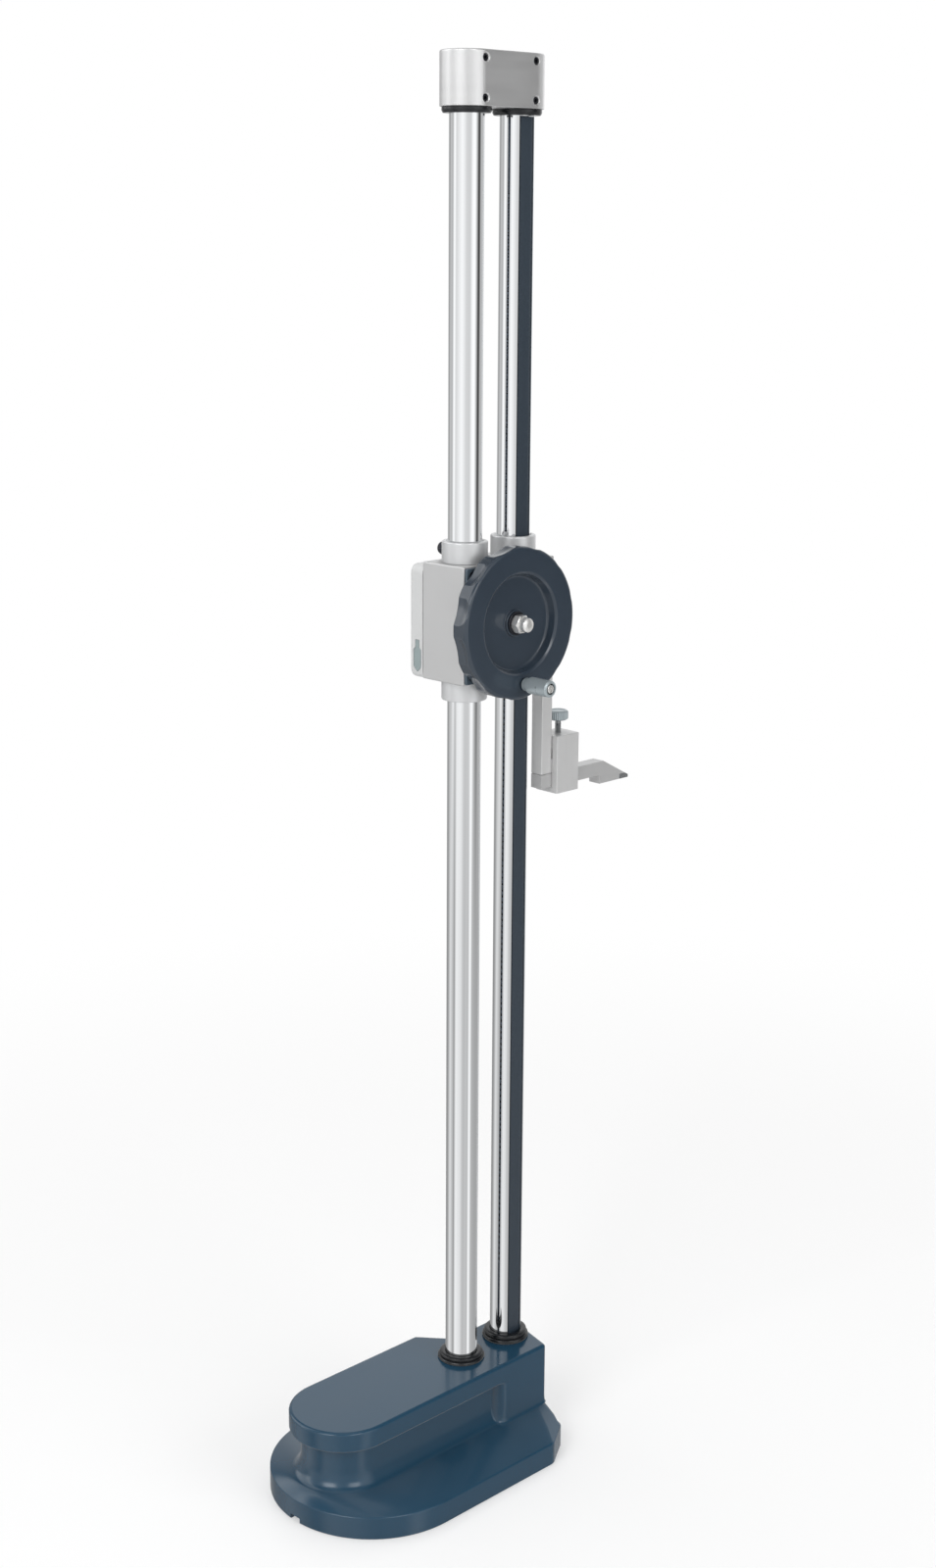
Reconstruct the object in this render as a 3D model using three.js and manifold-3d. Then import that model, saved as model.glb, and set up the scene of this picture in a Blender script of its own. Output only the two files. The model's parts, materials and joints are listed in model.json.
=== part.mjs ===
// Electronic height gauge on two round columns, in millimetres, +Z up.
// The origin lies on the underside of the base, midway between the two columns.
// +X points along the scriber, +Y towards the display, -Y towards the handwheel.
import * as THREE from 'three';
import { mergeVertices } from 'three/addons/utils/BufferGeometryUtils.js';
import Module from 'manifold-3d';

const wasm = await Module();
wasm.setup();

// Driving dimensions of the whole gauge
const columnSpacing = 40;
const columnDiameter = 20;
const baseHeight = 62;
const columnTravelLength = 760.5;
const sliderHeight = 537.5;

// Fits between pieces
const seatGap = 0.1;
const fitGap = 0.2;
const runningGap = 0.3;
const overrun = 1;

// Base casting
const plateThickness = 13;
const plateNearSide = 28;
const plateFarSide = 39;
const plateReach = 148.5;
const plateEdgeRadius = 2;
const plateCornerRadius = 3;
const neckInset = 7;
const neckFlareHeight = 13;
const rearCornerX = 29.5;
const rearApexX = 37.5;
const stepFarSide = 20.7;
const stepStartX = 24;
const stepEndX = 8.5;
const flangeHalfWidth = 65;
const flangeReach = 155;
const flangeSideHeight = 15;
const flangeRise = 6;
const flangeChamferX = 4.5;
const flangeChamferDepth = 13;
const flangeEdgeRadius = 1.2;
const footCornerInset = 9.5;
const footCornerDepth = 1;
const blockFrontX = 13.5;
const blockCornerRadius = 9;
const blockInset = 0.3;
const reliefWidth = 8.5;
const reliefDepth = 3.5;

// Columns, rack and scale
const socketDepth = 40;
const columnChamfer = 0.8;
const scaleFlatDepth = 2.4;
const scaleWidth = 9.6;
const scaleThickness = 1;
const scaleFootMargin = 2;
const scaleHeadMargin = 0.3;
const gearModule = 1.25;
const pinionTeeth = 12;
const rackAddendum = 0.85;
const toothDedendum = 1.25;
const pinionAddendum = 1;
const pressureAngle = THREE.MathUtils.degToRad(20);
const toothBacklash = 0.12;
const rackWidth = 6;
const rackBackThickness = 2;
const rackTipDepth = 0.5;
const rackEndMargin = 40;
const boltDiameter = 8;
const boltEngagement = 20;
const boltHeadDiameter = 13;
const boltHeadHeight = 8;
const boltHeadSink = 12;
const boltSocketWidth = 6;
const boltSocketDepth = 4;

// Rubber rings at the foot of the columns
const ringDiameter = 30;
const ringUpperDiameter = 27.5;
const ringHeight = 5.5;
const ringRoundShare = 1 / 3;
const stopRoundShare = 1 / 4;

// Head
const headHeight = 30;
const headEndRadius = 15.3;
const headEdgeRadius = 0.8;
const headBoreDepth = 22;
const stopRingDiameter = 28.4;
const stopRingHeight = 3.4;
const setScrewDiameter = 4;
const setScrewSpacing = 21.2;
const setScrewSink = 0.4;
const setScrewSocketWidth = 2;
const setScrewSocketDepth = 2;

// Slider body
const bodyLength = 73.2;
const bodyWidth = 36.4;
const bodyHeight = 69.5;
const bodyChamfer = 0.8;
const coverThickness = 2;
const coverLipLength = 4.4;
const coverCornerRadius = 1;
const bossDiameter = 20;
const bossLength = 5.7;
const boreClearance = 0.9;

// Guide bushes
const collarDiameter = 27;
const topCollarHeight = 12.6;
const bottomCollarHeight = 11.8;
const sleeveDiameter = 24;
const sleeveDepth = 15.5;
const collarChamfer = 0.6;

// Lock screw in the upper front bush
const lockStemDiameter = 4;
const lockKnobDiameter = 8;
const lockKnobEndY = 20;
const lockKnobStand = 1;
const lockPadThickness = 1;

// Shaft, handwheel and crank knob
const shaftDiameter = 8;
const shaftThreadDiameter = 6;
const shaftShoulderDiameter = 12;
const shaftShoulderLength = 1;
const shaftStandOff = 0.4;
const shaftTailLength = 13;
const gearWidth = 5.6;
const chamberDiameter = 24;
const chamberDepthY = 5;
const bushWall = 2;
const rearBushLength = 8;
const wheelRadius = 45;
const wheelThickness = 11;
const wheelGrooveDepth = 2;
const wheelGrooves = 12;
const grooveSharpness = 1.5;
const frontGrooveShare = 0.25;
const grooveRampShare = 0.42;
const wheelEdgeRadius = 1.5;
const dishRadius = 29.3;
const dishDepth = 5.6;
const hubBossDiameter = 16;
const hubBossHeight = 1.5;
const washerDiameter = 14;
const washerThickness = 1;
const nutWidth = 10;
const nutHexHeight = 5;
const nutDomeRadius = 4.3;
const nutHeight = 9.8;
const knobOrbitRadius = 36.2;
const knobOrbitAngle = THREE.MathUtils.degToRad(-84.4);
const knobDiameter = 10;
const knobLength = 20.3;
const knobStand = 0.9;
const knobWaistDiameter = 8;
const knobWaistLength = 3.5;
const knobScrewDiameter = 5;
const knobScrewHeadDiameter = 5.6;
const knobScrewHeadHeight = 2.4;
const knobScrewThread = 8;
const screwSlotWidth = 1;
const screwSlotDepth = 1;

// Display unit on the far side
const displayThickness = 11;
const displayHeight = 68;
const displayDrop = 1.5;
const displayWall = 2;
const displayCornerRadius = 6;
const displayEdgeRadius = 2;
const windowWidth = 56;
const windowHeight = 24;
const windowCentreZ = 15;
const windowThickness = 1.2;
const windowLip = 2;
const panelThickness = 2.6;
const panelMargin = 1;
const boardThickness = 1.6;
const boardStandOff = 2.2;
const boardMargin = 2.5;
const keyDiameter = 8;
const keyFlange = 0.9;
const keyFlangeThickness = 1;
const keyProud = 1.1;
const keyTravel = 0.6;
const keyColumns = 3;
const keyRows = 2;
const keyPitchX = 11.5;
const keyPitchZ = 13;
const keyStartX = -22;
const keyStartZ = -9.5;
const switchDiameter = 5;
const cellDiameter = 20;
const cellThickness = 3.2;
const cellCentreX = 20;
const cellCentreZ = -16.5;
const batteryCoverDiameter = 24;
const batteryCoverThickness = 2.4;
const coinSlotWidth = 2;
const coinSlotDepth = 0.9;
const portCoverWidth = 6;
const portCoverHeight = 19;
const portCoverBottom = -31.5;
const portCoverThickness = 1.2;
const portCoverPoint = 3;
const portCoverNeckWidth = 3;
const portCoverNeckHeight = 4.5;
const portCoverShoulder = 1;
const portPlugHeight = 9;
const portPlugWidth = 3.4;
const portPlugLength = 2.4;
const portDepth = 5;
const portWall = 1;
const smallScrewDiameter = 2.4;
const smallScrewHeadDiameter = 4.4;
const smallScrewHeadHeight = 1.3;
const smallScrewLength = 6;
const smallScrewInset = 4.6;
const postDiameter = 6;

// Reading head that faces the scale
const sensorWidth = 16;
const sensorHeight = 34;
const sensorBoardThickness = 1.6;
const sensorStandOff = 1;
const sensorPocketWall = 1;

// Jaw arm, scriber and clamp
const armWidth = 8.8;
const armNearY = -10;
const armTopZ = 22;
const armFootZ = -101.3;
const armFootHeight = 9;
const armFootLength = 28;
const armScrewDiameter = 4;
const armScrewHeadDiameter = 7;
const armScrewHeadHeight = 4;
const armScrewSocketWidth = 3;
const armScrewLength = 5;
const armScrewSpacing = 24;
const armScrewTopInset = 8;
const clampLength = 19.4;
const clampWall = 4.3;
const clampFloor = 3.5;
const clampRoof = 8;
const clampHeadroom = 6.5;
const clampStemDiameter = 4;
const clampStemLength = 8;
const clampHeadDiameter = 12.4;
const clampHeadHeight = 6;
const clampHeadChamfer = 0.6;
const scriberHeight = 8.8;
const scriberLength = 80;
const scriberStepX = 53;
const scriberNoseDrop = 5.6;
const scriberSlopeX = 56.5;
const tipLength = 8;
const tipHeight = 1.8;
const tipDepth = 3.2;

// Facets round a circle
const wideSegments = 20;
const mediumSegments = 14;
const smallSegments = 10;
const endSegments = 10;
const sharpTurn = THREE.MathUtils.degToRad(20);
const weldDistance = 0.00001;
const rearNormalShare = 0.9;

// Places worked out from the sizes above
const columnRadius = columnDiameter / 2;
const frontColumnX = -columnSpacing / 2;
const rearColumnX = columnSpacing / 2;
const headBottomZ = baseHeight + columnTravelLength + stopRingHeight + seatGap;
const columnBottomZ = baseHeight - socketDepth;
const columnTopZ = headBottomZ + headBoreDepth;
const baseCentreY = (plateFarSide - plateNearSide) / 2;
const plateHalfWidth = (plateFarSide + plateNearSide) / 2;
const plateEndX = plateHalfWidth - plateReach;
const rearSlope = (rearApexX - rearCornerX) / plateHalfWidth;
const plateBottomZ = baseHeight - plateThickness;
const footZ = flangeSideHeight + flangeRise;
const bodyHalfLength = bodyLength / 2;
const bodyHalfWidth = bodyWidth / 2;
const bodyHalfHeight = bodyHeight / 2;
const coverSeatY = coverThickness - bodyHalfWidth;
const gearPitch = Math.PI * gearModule;
const pinionRadius = pinionTeeth * gearModule / 2;
const rackPitchX = frontColumnX + columnRadius - rackTipDepth - rackAddendum;
const shaftX = rackPitchX + pinionRadius;
const wheelBackY = -bodyHalfWidth - shaftStandOff - shaftShoulderLength - seatGap;
const wheelFrontY = wheelBackY - wheelThickness;
const dishY = wheelFrontY + dishDepth;
const hubY = dishY - hubBossHeight;
const displayBackY = bodyHalfWidth + seatGap;
const displayFrontY = displayBackY + displayThickness;
const displayInnerY = displayFrontY - displayWall;
const boardBackY = displayBackY + boardStandOff;
const boardFrontY = boardBackY + boardThickness;
const armX = bodyHalfLength + seatGap;
const armFarY = armNearY + armWidth;
const armMidY = armNearY + armWidth / 2;
const armEndX = armX + armFootLength;
const clampX = armX + armWidth + runningGap;
const clampMidX = clampX + clampLength / 2;
const scriberTopZ = armFootZ - fitGap;
const scriberBottomZ = scriberTopZ - scriberHeight;
const clampFloorZ = scriberBottomZ - fitGap;
const clampRoofZ = armFootZ + armFootHeight + clampHeadroom;

// Turns a three.js geometry into a solid, with its faces pointing outwards
function solidOf(geometry) {
  const bare = geometry.clone();
  bare.deleteAttribute('normal');
  bare.deleteAttribute('uv');
  const merged = mergeVertices(bare, weldDistance);
  const position = merged.getAttribute('position');
  const index = merged.getIndex();
  const corner = (i) => new THREE.Vector3().fromBufferAttribute(position, i);
  const triangles = [];
  let volume = 0;
  for (let i = 0; i < index.count; i += 3) {
    const [a, b, c] = [index.getX(i), index.getX(i + 1), index.getX(i + 2)];
    if (a === b || b === c || c === a) continue;
    triangles.push([a, b, c]);
    volume += corner(a).dot(corner(b).cross(corner(c)));
  }
  const ordered = volume > 0 ? triangles : triangles.map(([a, b, c]) => [a, c, b]);
  return new wasm.Manifold(new wasm.Mesh({
    numProp: 3,
    vertProperties: new Float32Array(position.array),
    triVerts: new Uint32Array(ordered.flat()),
  }));
}

// Turns a solid back into a three.js geometry
function geometryOf(solid) {
  const mesh = solid.getMesh();
  const geometry = new THREE.BufferGeometry();
  geometry.setAttribute('position', new THREE.BufferAttribute(new Float32Array(mesh.vertProperties), 3));
  geometry.setIndex(new THREE.BufferAttribute(new Uint32Array(mesh.triVerts), 1));
  geometry.computeVertexNormals();
  return geometry;
}

// Makes a named mesh of a solid with its own material
function piece(name, solid, colour, roughness, metalness) {
  const material = new THREE.MeshStandardMaterial({ color: colour, roughness, metalness });
  const mesh = new THREE.Mesh(geometryOf(solid), material);
  mesh.name = name;
  return mesh;
}

// Joins a list of solids
function join(solids) {
  return solids.reduce((whole, solid) => whole.add(solid));
}

// Cuts a list of solids out of another
function cut(solid, tools) {
  return tools.reduce((rest, tool) => rest.subtract(tool), solid);
}

// Box between two corners
function box(x0, x1, y0, y1, z0, z1) {
  const geometry = new THREE.BoxGeometry(x1 - x0, y1 - y0, z1 - z0);
  return solidOf(geometry.translate((x0 + x1) / 2, (y0 + y1) / 2, (z0 + z1) / 2));
}

// Puts a geometry made round its own Y axis along another axis, at a place across that axis
function alongAxis(geometry, axis, a, b) {
  if (axis === 'z') return geometry.rotateX(Math.PI / 2).translate(a, b, 0);
  if (axis === 'x') return geometry.rotateZ(-Math.PI / 2).translate(0, a, b);
  return geometry.translate(a, 0, b);
}

// Round bar along an axis
function bar(axis, diameter, from, to, a, b, segments) {
  const geometry = new THREE.CylinderGeometry(diameter / 2, diameter / 2, to - from, segments);
  return solidOf(alongAxis(geometry.translate(0, (from + to) / 2, 0), axis, a, b));
}

// Turned piece: the profile holds pairs of radius and height along the axis
function turned(axis, profile, a, b, segments) {
  const points = profile.map(([radius, height]) => new THREE.Vector2(radius, height));
  return solidOf(alongAxis(new THREE.LatheGeometry(points, segments), axis, a, b));
}

// Turned ring whose profile closes on itself
function turnedRing(axis, profile, a, b, segments) {
  return turned(axis, [...profile, profile[0]], a, b, segments);
}

// Prism: an outline drawn across an axis and drawn out along it
function prism(axis, outline, from, to) {
  const shape = new THREE.Shape(outline.map(([u, v]) => new THREE.Vector2(u, v)));
  const geometry = new THREE.ExtrudeGeometry(shape, { depth: to - from, bevelEnabled: false });
  if (axis === 'z') return solidOf(geometry.translate(0, 0, from));
  if (axis === 'y') return solidOf(geometry.rotateX(Math.PI / 2).translate(0, to, 0));
  return solidOf(geometry.rotateY(Math.PI / 2).rotateX(Math.PI / 2).translate(from, 0, 0));
}

// Loft through outlines of equal counts, each with its own height
function loft(sections) {
  const count = sections[0].outline.length;
  const positions = sections.flatMap(({ outline, z }) => outline.flatMap(([x, y]) => [x, y, z]));
  const index = [];
  for (let ring = 0; ring + 1 < sections.length; ring += 1) {
    for (let i = 0; i < count; i += 1) {
      const [a, b] = [ring * count + i, ring * count + (i + 1) % count];
      index.push(a, b, a + count, b, b + count, a + count);
    }
  }
  const contour = (outline) => outline.map(([x, y]) => new THREE.Vector2(x, y));
  const last = (sections.length - 1) * count;
  for (const [a, b, c] of THREE.ShapeUtils.triangulateShape(contour(sections[0].outline), [])) {
    index.push(a, c, b);
  }
  for (const [a, b, c] of THREE.ShapeUtils.triangulateShape(contour(sections.at(-1).outline), [])) {
    index.push(last + a, last + b, last + c);
  }
  const geometry = new THREE.BufferGeometry();
  geometry.setAttribute('position', new THREE.Float32BufferAttribute(positions, 3));
  geometry.setIndex(index);
  return solidOf(geometry);
}

// Turns a solid drawn with its height along Z so that the height runs along Y, towards +Y
function turnUpToY(solid) {
  const geometry = geometryOf(solid);
  return solidOf(geometry.rotateX(-Math.PI / 2).rotateY(Math.PI));
}

// Points of an arc, both ends kept
function arc(x, y, radius, start, end, steps) {
  return Array.from({ length: steps + 1 }, (_, i) => {
    const angle = start + (end - start) * i / steps;
    return [x + radius * Math.cos(angle), y + radius * Math.sin(angle)];
  });
}

// Moves each edge of a counter-clockwise outline outwards, except edges that the test keeps
function offsetOutline(outline, distance, keep = () => false) {
  const count = outline.length;
  const edges = outline.map((point, i) => {
    const next = outline[(i + 1) % count];
    const length = Math.hypot(next[0] - point[0], next[1] - point[1]);
    const normal = [(next[1] - point[1]) / length, (point[0] - next[0]) / length];
    const shift = keep(normal) ? 0 : distance;
    return { normal, reach: normal[0] * point[0] + normal[1] * point[1] + shift };
  });
  return edges.map((edge, i) => {
    const before = edges[(i + count - 1) % count];
    const across = before.normal[0] * edge.normal[1] - before.normal[1] * edge.normal[0];
    return [
      (before.reach * edge.normal[1] - edge.reach * before.normal[1]) / across,
      (edge.reach * before.normal[0] - before.reach * edge.normal[0]) / across,
    ];
  });
}

// Rounds the sharp corners of an outline and leaves its arcs alone
function roundCorners(outline, radius, steps = 2) {
  const count = outline.length;
  return outline.flatMap((point, i) => {
    const corner = new THREE.Vector2(...point);
    const towards = (other) => new THREE.Vector2(...other).sub(corner).normalize();
    const back = towards(outline[(i + count - 1) % count]);
    const ahead = towards(outline[(i + 1) % count]);
    const turn = Math.PI - Math.acos(THREE.MathUtils.clamp(back.dot(ahead), -1, 1));
    if (turn < sharpTurn) return [point];
    const run = radius * Math.tan(turn / 2);
    const start = corner.clone().addScaledVector(back, run);
    const end = corner.clone().addScaledVector(ahead, run);
    const curve = new THREE.QuadraticBezierCurve(start, corner, end);
    return curve.getPoints(steps).map(({ x, y }) => [x, y]);
  });
}

// Rectangle between two corners, counter-clockwise
function rectangle(x0, x1, y0, y1) {
  return [[x0, y0], [x1, y0], [x1, y1], [x0, y1]];
}

// Hexagon by its width across flats
function hexagon(width, x, y) {
  return arc(x, y, width / Math.sqrt(3), 0, 2 * Math.PI, 6).slice(0, 6);
}

// Sections of a plate whose upper edge is rounded
function roundedSections(outlineAt, bottom, top, radius, steps = 3) {
  const sections = [{ outline: outlineAt(0), z: bottom }];
  for (let i = 0; i <= steps; i += 1) {
    const angle = (Math.PI / 2) * (i / steps);
    const inset = radius * (1 - Math.cos(angle));
    sections.push({ outline: outlineAt(-inset), z: top - radius + radius * Math.sin(angle) });
  }
  return sections;
}

// Sections of a plate with a chamfer on its lower and upper edges
function chamferedSections(outlineAt, bottom, top, chamfer) {
  return [
    { outline: outlineAt(-chamfer), z: bottom },
    { outline: outlineAt(0), z: bottom + chamfer },
    { outline: outlineAt(0), z: top - chamfer },
    { outline: outlineAt(-chamfer), z: top },
  ];
}

// Edge of the base's V-shaped rear end, at a distance from its centre line
function rearX(y) {
  return rearApexX - rearSlope * Math.abs(y - baseCentreY);
}

// The rear faces of plate, neck and flange lie flush
const facesRear = (normal) => normal[0] > rearNormalShare;

// Outline of the base's top plate: round end, narrow part behind the display, V-shaped rear end
function plateOutline() {
  return [
    [rearCornerX, -plateNearSide],
    [rearApexX, baseCentreY],
    [rearX(stepFarSide), stepFarSide],
    [-stepEndX, stepFarSide],
    [-stepStartX, plateFarSide],
    ...arc(plateEndX, baseCentreY, plateHalfWidth, Math.PI / 2, 3 * Math.PI / 2, endSegments),
  ];
}

// Outline with a round end, shared by the flange and by the foot of the neck
function footOutline(halfWidth, reach, cornerX, cornerY, sideX) {
  return [
    [cornerX, baseCentreY - cornerY],
    [rearApexX, baseCentreY],
    [cornerX, baseCentreY + cornerY],
    [sideX, baseCentreY + halfWidth],
    ...arc(halfWidth - reach, baseCentreY, halfWidth, Math.PI / 2, 3 * Math.PI / 2, endSegments),
    [sideX, baseCentreY - halfWidth],
  ];
}

// Block that carries the columns down to the flange, with a rounded front corner
function columnBlock() {
  const block = [
    [rearCornerX, -plateNearSide],
    [rearApexX, baseCentreY],
    [rearX(stepFarSide), stepFarSide],
    [-stepEndX, stepFarSide],
    [-blockFrontX, baseCentreY],
    ...arc(-blockFrontX + blockCornerRadius, blockCornerRadius - plateNearSide, blockCornerRadius,
      Math.PI, 3 * Math.PI / 2, 5),
  ];
  return prism('z', offsetOutline(block, -blockInset), flangeSideHeight,
    plateBottomZ + plateEdgeRadius);
}

// Cast base: flange with sloping top, neck that flares into it, block under the columns and plate
function baseCasting() {
  const flangeCornerY = flangeHalfWidth - flangeChamferDepth;
  const flange = footOutline(flangeHalfWidth, flangeReach, rearX(baseCentreY + flangeCornerY),
    flangeCornerY, flangeChamferX);
  const footCornerY = plateHalfWidth - footCornerDepth;
  const foot = footOutline(plateHalfWidth, plateReach, rearX(baseCentreY + footCornerY), footCornerY,
    rearCornerX - footCornerInset);
  const flangeEdge = offsetOutline(flange, -flangeEdgeRadius, facesRear);
  const flangeSolid = loft([
    { outline: flange, z: 0 },
    { outline: flange, z: flangeSideHeight - flangeEdgeRadius },
    { outline: flangeEdge, z: flangeSideHeight },
    { outline: foot, z: footZ },
  ]);
  const plate = plateOutline();
  const plateAt = (distance) => roundCorners(offsetOutline(plate, distance, facesRear), plateCornerRadius);
  const neck = offsetOutline(plate, -neckInset, (normal) => !facesRear(normal));
  const neckAt = (distance) => roundCorners(offsetOutline(neck, distance, facesRear), plateCornerRadius);
  const neckSections = [{ outline: neckAt(0), z: footZ - flangeRise / 2 }];
  const flareSteps = 4;
  for (let i = 0; i <= flareSteps; i += 1) {
    const angle = (Math.PI / 2) * (i / flareSteps);
    const z = footZ + neckFlareHeight * (1 - Math.cos(angle));
    neckSections.push({ outline: neckAt(-neckInset * Math.sin(angle)), z });
  }
  neckSections.push({ outline: neckAt(-neckInset), z: plateBottomZ + plateEdgeRadius });
  const plateSolid = loft([
    { outline: plateAt(-plateEdgeRadius / 2), z: plateBottomZ },
    ...roundedSections(plateAt, plateBottomZ + plateEdgeRadius / 2, baseHeight, plateEdgeRadius),
  ]);
  const body = join([flangeSolid, loft(neckSections), columnBlock(), plateSolid]);
  const tools = [
    box(-flangeReach - overrun, rearApexX + overrun, baseCentreY - reliefWidth / 2,
      baseCentreY + reliefWidth / 2, -overrun, reliefDepth),
  ];
  for (const x of [frontColumnX, rearColumnX]) {
    tools.push(bar('z', columnDiameter + 2 * fitGap, columnBottomZ, baseHeight + overrun, x, 0,
      wideSegments));
    tools.push(bar('z', boltDiameter + 2 * fitGap, -overrun, columnBottomZ + overrun, x, 0,
      smallSegments));
    tools.push(bar('z', boltHeadDiameter + 2 * runningGap, -overrun, boltHeadSink, x, 0,
      mediumSegments));
  }
  return cut(body, tools);
}

// Bolt that holds a column in the base from below
function columnBolt(x) {
  const seat = boltHeadSink - seatGap;
  const head = bar('z', boltHeadDiameter, seat - boltHeadHeight, seat, x, 0, smallSegments);
  const shank = bar('z', boltDiameter, seat - overrun, columnBottomZ + boltEngagement, x, 0,
    smallSegments);
  const socketTop = seat - boltHeadHeight + boltSocketDepth;
  const socket = prism('z', hexagon(boltSocketWidth, x, 0), -overrun, socketTop);
  return head.add(shank).subtract(socket);
}

// Plain column: a round bar with chamfered ends and a tapped hole for its bolt
function plainColumn(x) {
  const bottom = columnBottomZ + seatGap;
  const top = columnTopZ - seatGap;
  const profile = [
    [0, bottom],
    [columnRadius - columnChamfer, bottom],
    [columnRadius, bottom + columnChamfer],
    [columnRadius, top - columnChamfer],
    [columnRadius - columnChamfer, top],
    [0, top],
  ];
  const hole = bar('z', boltDiameter + 2 * fitGap, bottom - overrun,
    columnBottomZ + boltEngagement + overrun, x, 0, smallSegments);
  return turned('z', profile, x, 0, wideSegments).subtract(hole);
}

// Front column, grooved on its inner side for the rack
function frontColumn() {
  const groove = box(rackPitchX - toothDedendum - rackBackThickness - fitGap,
    frontColumnX + columnDiameter, -rackWidth / 2 - fitGap, rackWidth / 2 + fitGap,
    rackBottomZ() - fitGap, rackTopZ() + fitGap);
  return plainColumn(frontColumnX).subtract(groove);
}

// Rear column, with a flat for the scale on its near side
function rearColumn() {
  const flatY = -columnRadius + scaleFlatDepth + scaleThickness;
  const flat = box(rearColumnX - columnDiameter, rearColumnX + columnDiameter,
    -columnDiameter, flatY, baseHeight + scaleFootMargin - fitGap,
    headBottomZ - stopRingHeight - scaleHeadMargin);
  return plainColumn(rearColumnX).subtract(flat);
}

// Scale strip on the rear column's flat
function scaleStrip() {
  const flatY = -columnRadius + scaleFlatDepth + scaleThickness;
  return box(rearColumnX - scaleWidth / 2, rearColumnX + scaleWidth / 2,
    flatY - seatGap - scaleThickness, flatY - seatGap, baseHeight + scaleFootMargin,
    headBottomZ - stopRingHeight - scaleHeadMargin - fitGap);
}

// The rack has a tooth space level with the pinion's shaft
function rackBottomZ() {
  const teethBelow = Math.floor((sliderHeight - baseHeight - rackEndMargin) / gearPitch);
  return sliderHeight - teethBelow * gearPitch;
}

function rackTopZ() {
  const room = headBottomZ - stopRingHeight - rackEndMargin - sliderHeight;
  return sliderHeight + Math.floor(room / gearPitch) * gearPitch;
}

// Rack with straight 20 degree flanks and stub teeth
function rackStrip() {
  const bottom = rackBottomZ();
  const count = Math.round((rackTopZ() - bottom) / gearPitch);
  const tipX = rackPitchX + rackAddendum;
  const rootX = rackPitchX - toothDedendum;
  const half = gearPitch / 4 - toothBacklash / 4;
  const tipHalf = half - rackAddendum * Math.tan(pressureAngle);
  const rootHalf = half + toothDedendum * Math.tan(pressureAngle);
  const outline = [[rootX - rackBackThickness, bottom], [rootX, bottom]];
  for (let i = 0; i < count; i += 1) {
    const z = bottom + (i + 1 / 2) * gearPitch;
    outline.push([rootX, z - rootHalf], [tipX, z - tipHalf], [tipX, z + tipHalf], [rootX, z + rootHalf]);
  }
  outline.push([rootX, rackTopZ()], [rootX - rackBackThickness, rackTopZ()]);
  return prism('y', outline, -rackWidth / 2, rackWidth / 2);
}

// Rubber ring of two beads at the foot of a column
function baseRing(x) {
  const inner = columnRadius + runningGap;
  const lower = ringDiameter / 2;
  const upper = ringUpperDiameter / 2;
  const bottom = baseHeight + seatGap;
  const bead = ringHeight / 2;
  const round = bead * ringRoundShare;
  const profile = [
    [inner, bottom],
    [lower - round, bottom],
    [lower, bottom + round],
    [lower, bottom + bead - round],
    [upper - round, bottom + bead],
    [upper, bottom + bead + round],
    [upper, bottom + 2 * bead - round],
    [upper - round, bottom + 2 * bead],
    [inner, bottom + 2 * bead],
  ];
  return turnedRing('z', profile, x, 0, mediumSegments);
}

// Black stop ring under the head
function stopRing(x) {
  const inner = columnRadius + runningGap;
  const outer = stopRingDiameter / 2;
  const top = headBottomZ - seatGap;
  const bottom = headBottomZ - stopRingHeight;
  const round = stopRingHeight * stopRoundShare;
  const profile = [
    [inner, bottom],
    [outer - round, bottom],
    [outer, bottom + round],
    [outer, top - round],
    [outer - round, top],
    [inner, top],
  ];
  return turnedRing('z', profile, x, 0, mediumSegments);
}

// Places of the set screws in the head
function setScrewPlaces() {
  const middle = headBottomZ + headHeight / 2;
  const heights = [middle - setScrewSpacing / 2, middle + setScrewSpacing / 2];
  return [frontColumnX, rearColumnX].flatMap((x) => heights.map((z) => [x, z]));
}

// Head that ties the columns together at the top
function headCap() {
  const round = [
    ...arc(rearColumnX, 0, headEndRadius, -Math.PI / 2, Math.PI / 2, endSegments),
    ...arc(frontColumnX, 0, headEndRadius, Math.PI / 2, 3 * Math.PI / 2, endSegments),
  ];
  const outlineAt = (distance) => offsetOutline(round, distance);
  const top = headBottomZ + headHeight;
  const tools = [];
  for (const x of [frontColumnX, rearColumnX]) {
    tools.push(bar('z', columnDiameter + 2 * fitGap, headBottomZ - overrun, columnTopZ, x, 0,
      wideSegments));
  }
  for (const [x, z] of setScrewPlaces()) {
    tools.push(bar('y', setScrewDiameter + fitGap, -headEndRadius - overrun,
      -columnRadius + overrun, x, z, smallSegments));
  }
  return cut(loft(chamferedSections(outlineAt, headBottomZ, top, headEdgeRadius)), tools);
}

// Hollow-hexagon set screw that holds the head on a column
function headSetScrew(x, z) {
  const outerY = -headEndRadius + setScrewSink;
  const innerY = -columnRadius - fitGap;
  const socket = prism('y', hexagon(setScrewSocketWidth, x, z), outerY - overrun,
    outerY + setScrewSocketDepth);
  return bar('y', setScrewDiameter - fitGap, outerY, innerY, x, z, smallSegments).subtract(socket);
}

// Places of the display's screws
function displayScrewPlaces() {
  const wide = bodyHalfLength - smallScrewInset;
  const middle = -displayDrop;
  const high = displayHeight / 2 - smallScrewInset;
  return [-wide, wide].flatMap((x) => [middle - high, middle + high].map((z) => [x, z]));
}

// Heights of the jaw arm's screws
function armScrewHeights() {
  const top = armTopZ - armScrewTopInset;
  return [top - armScrewSpacing, top];
}

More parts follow.
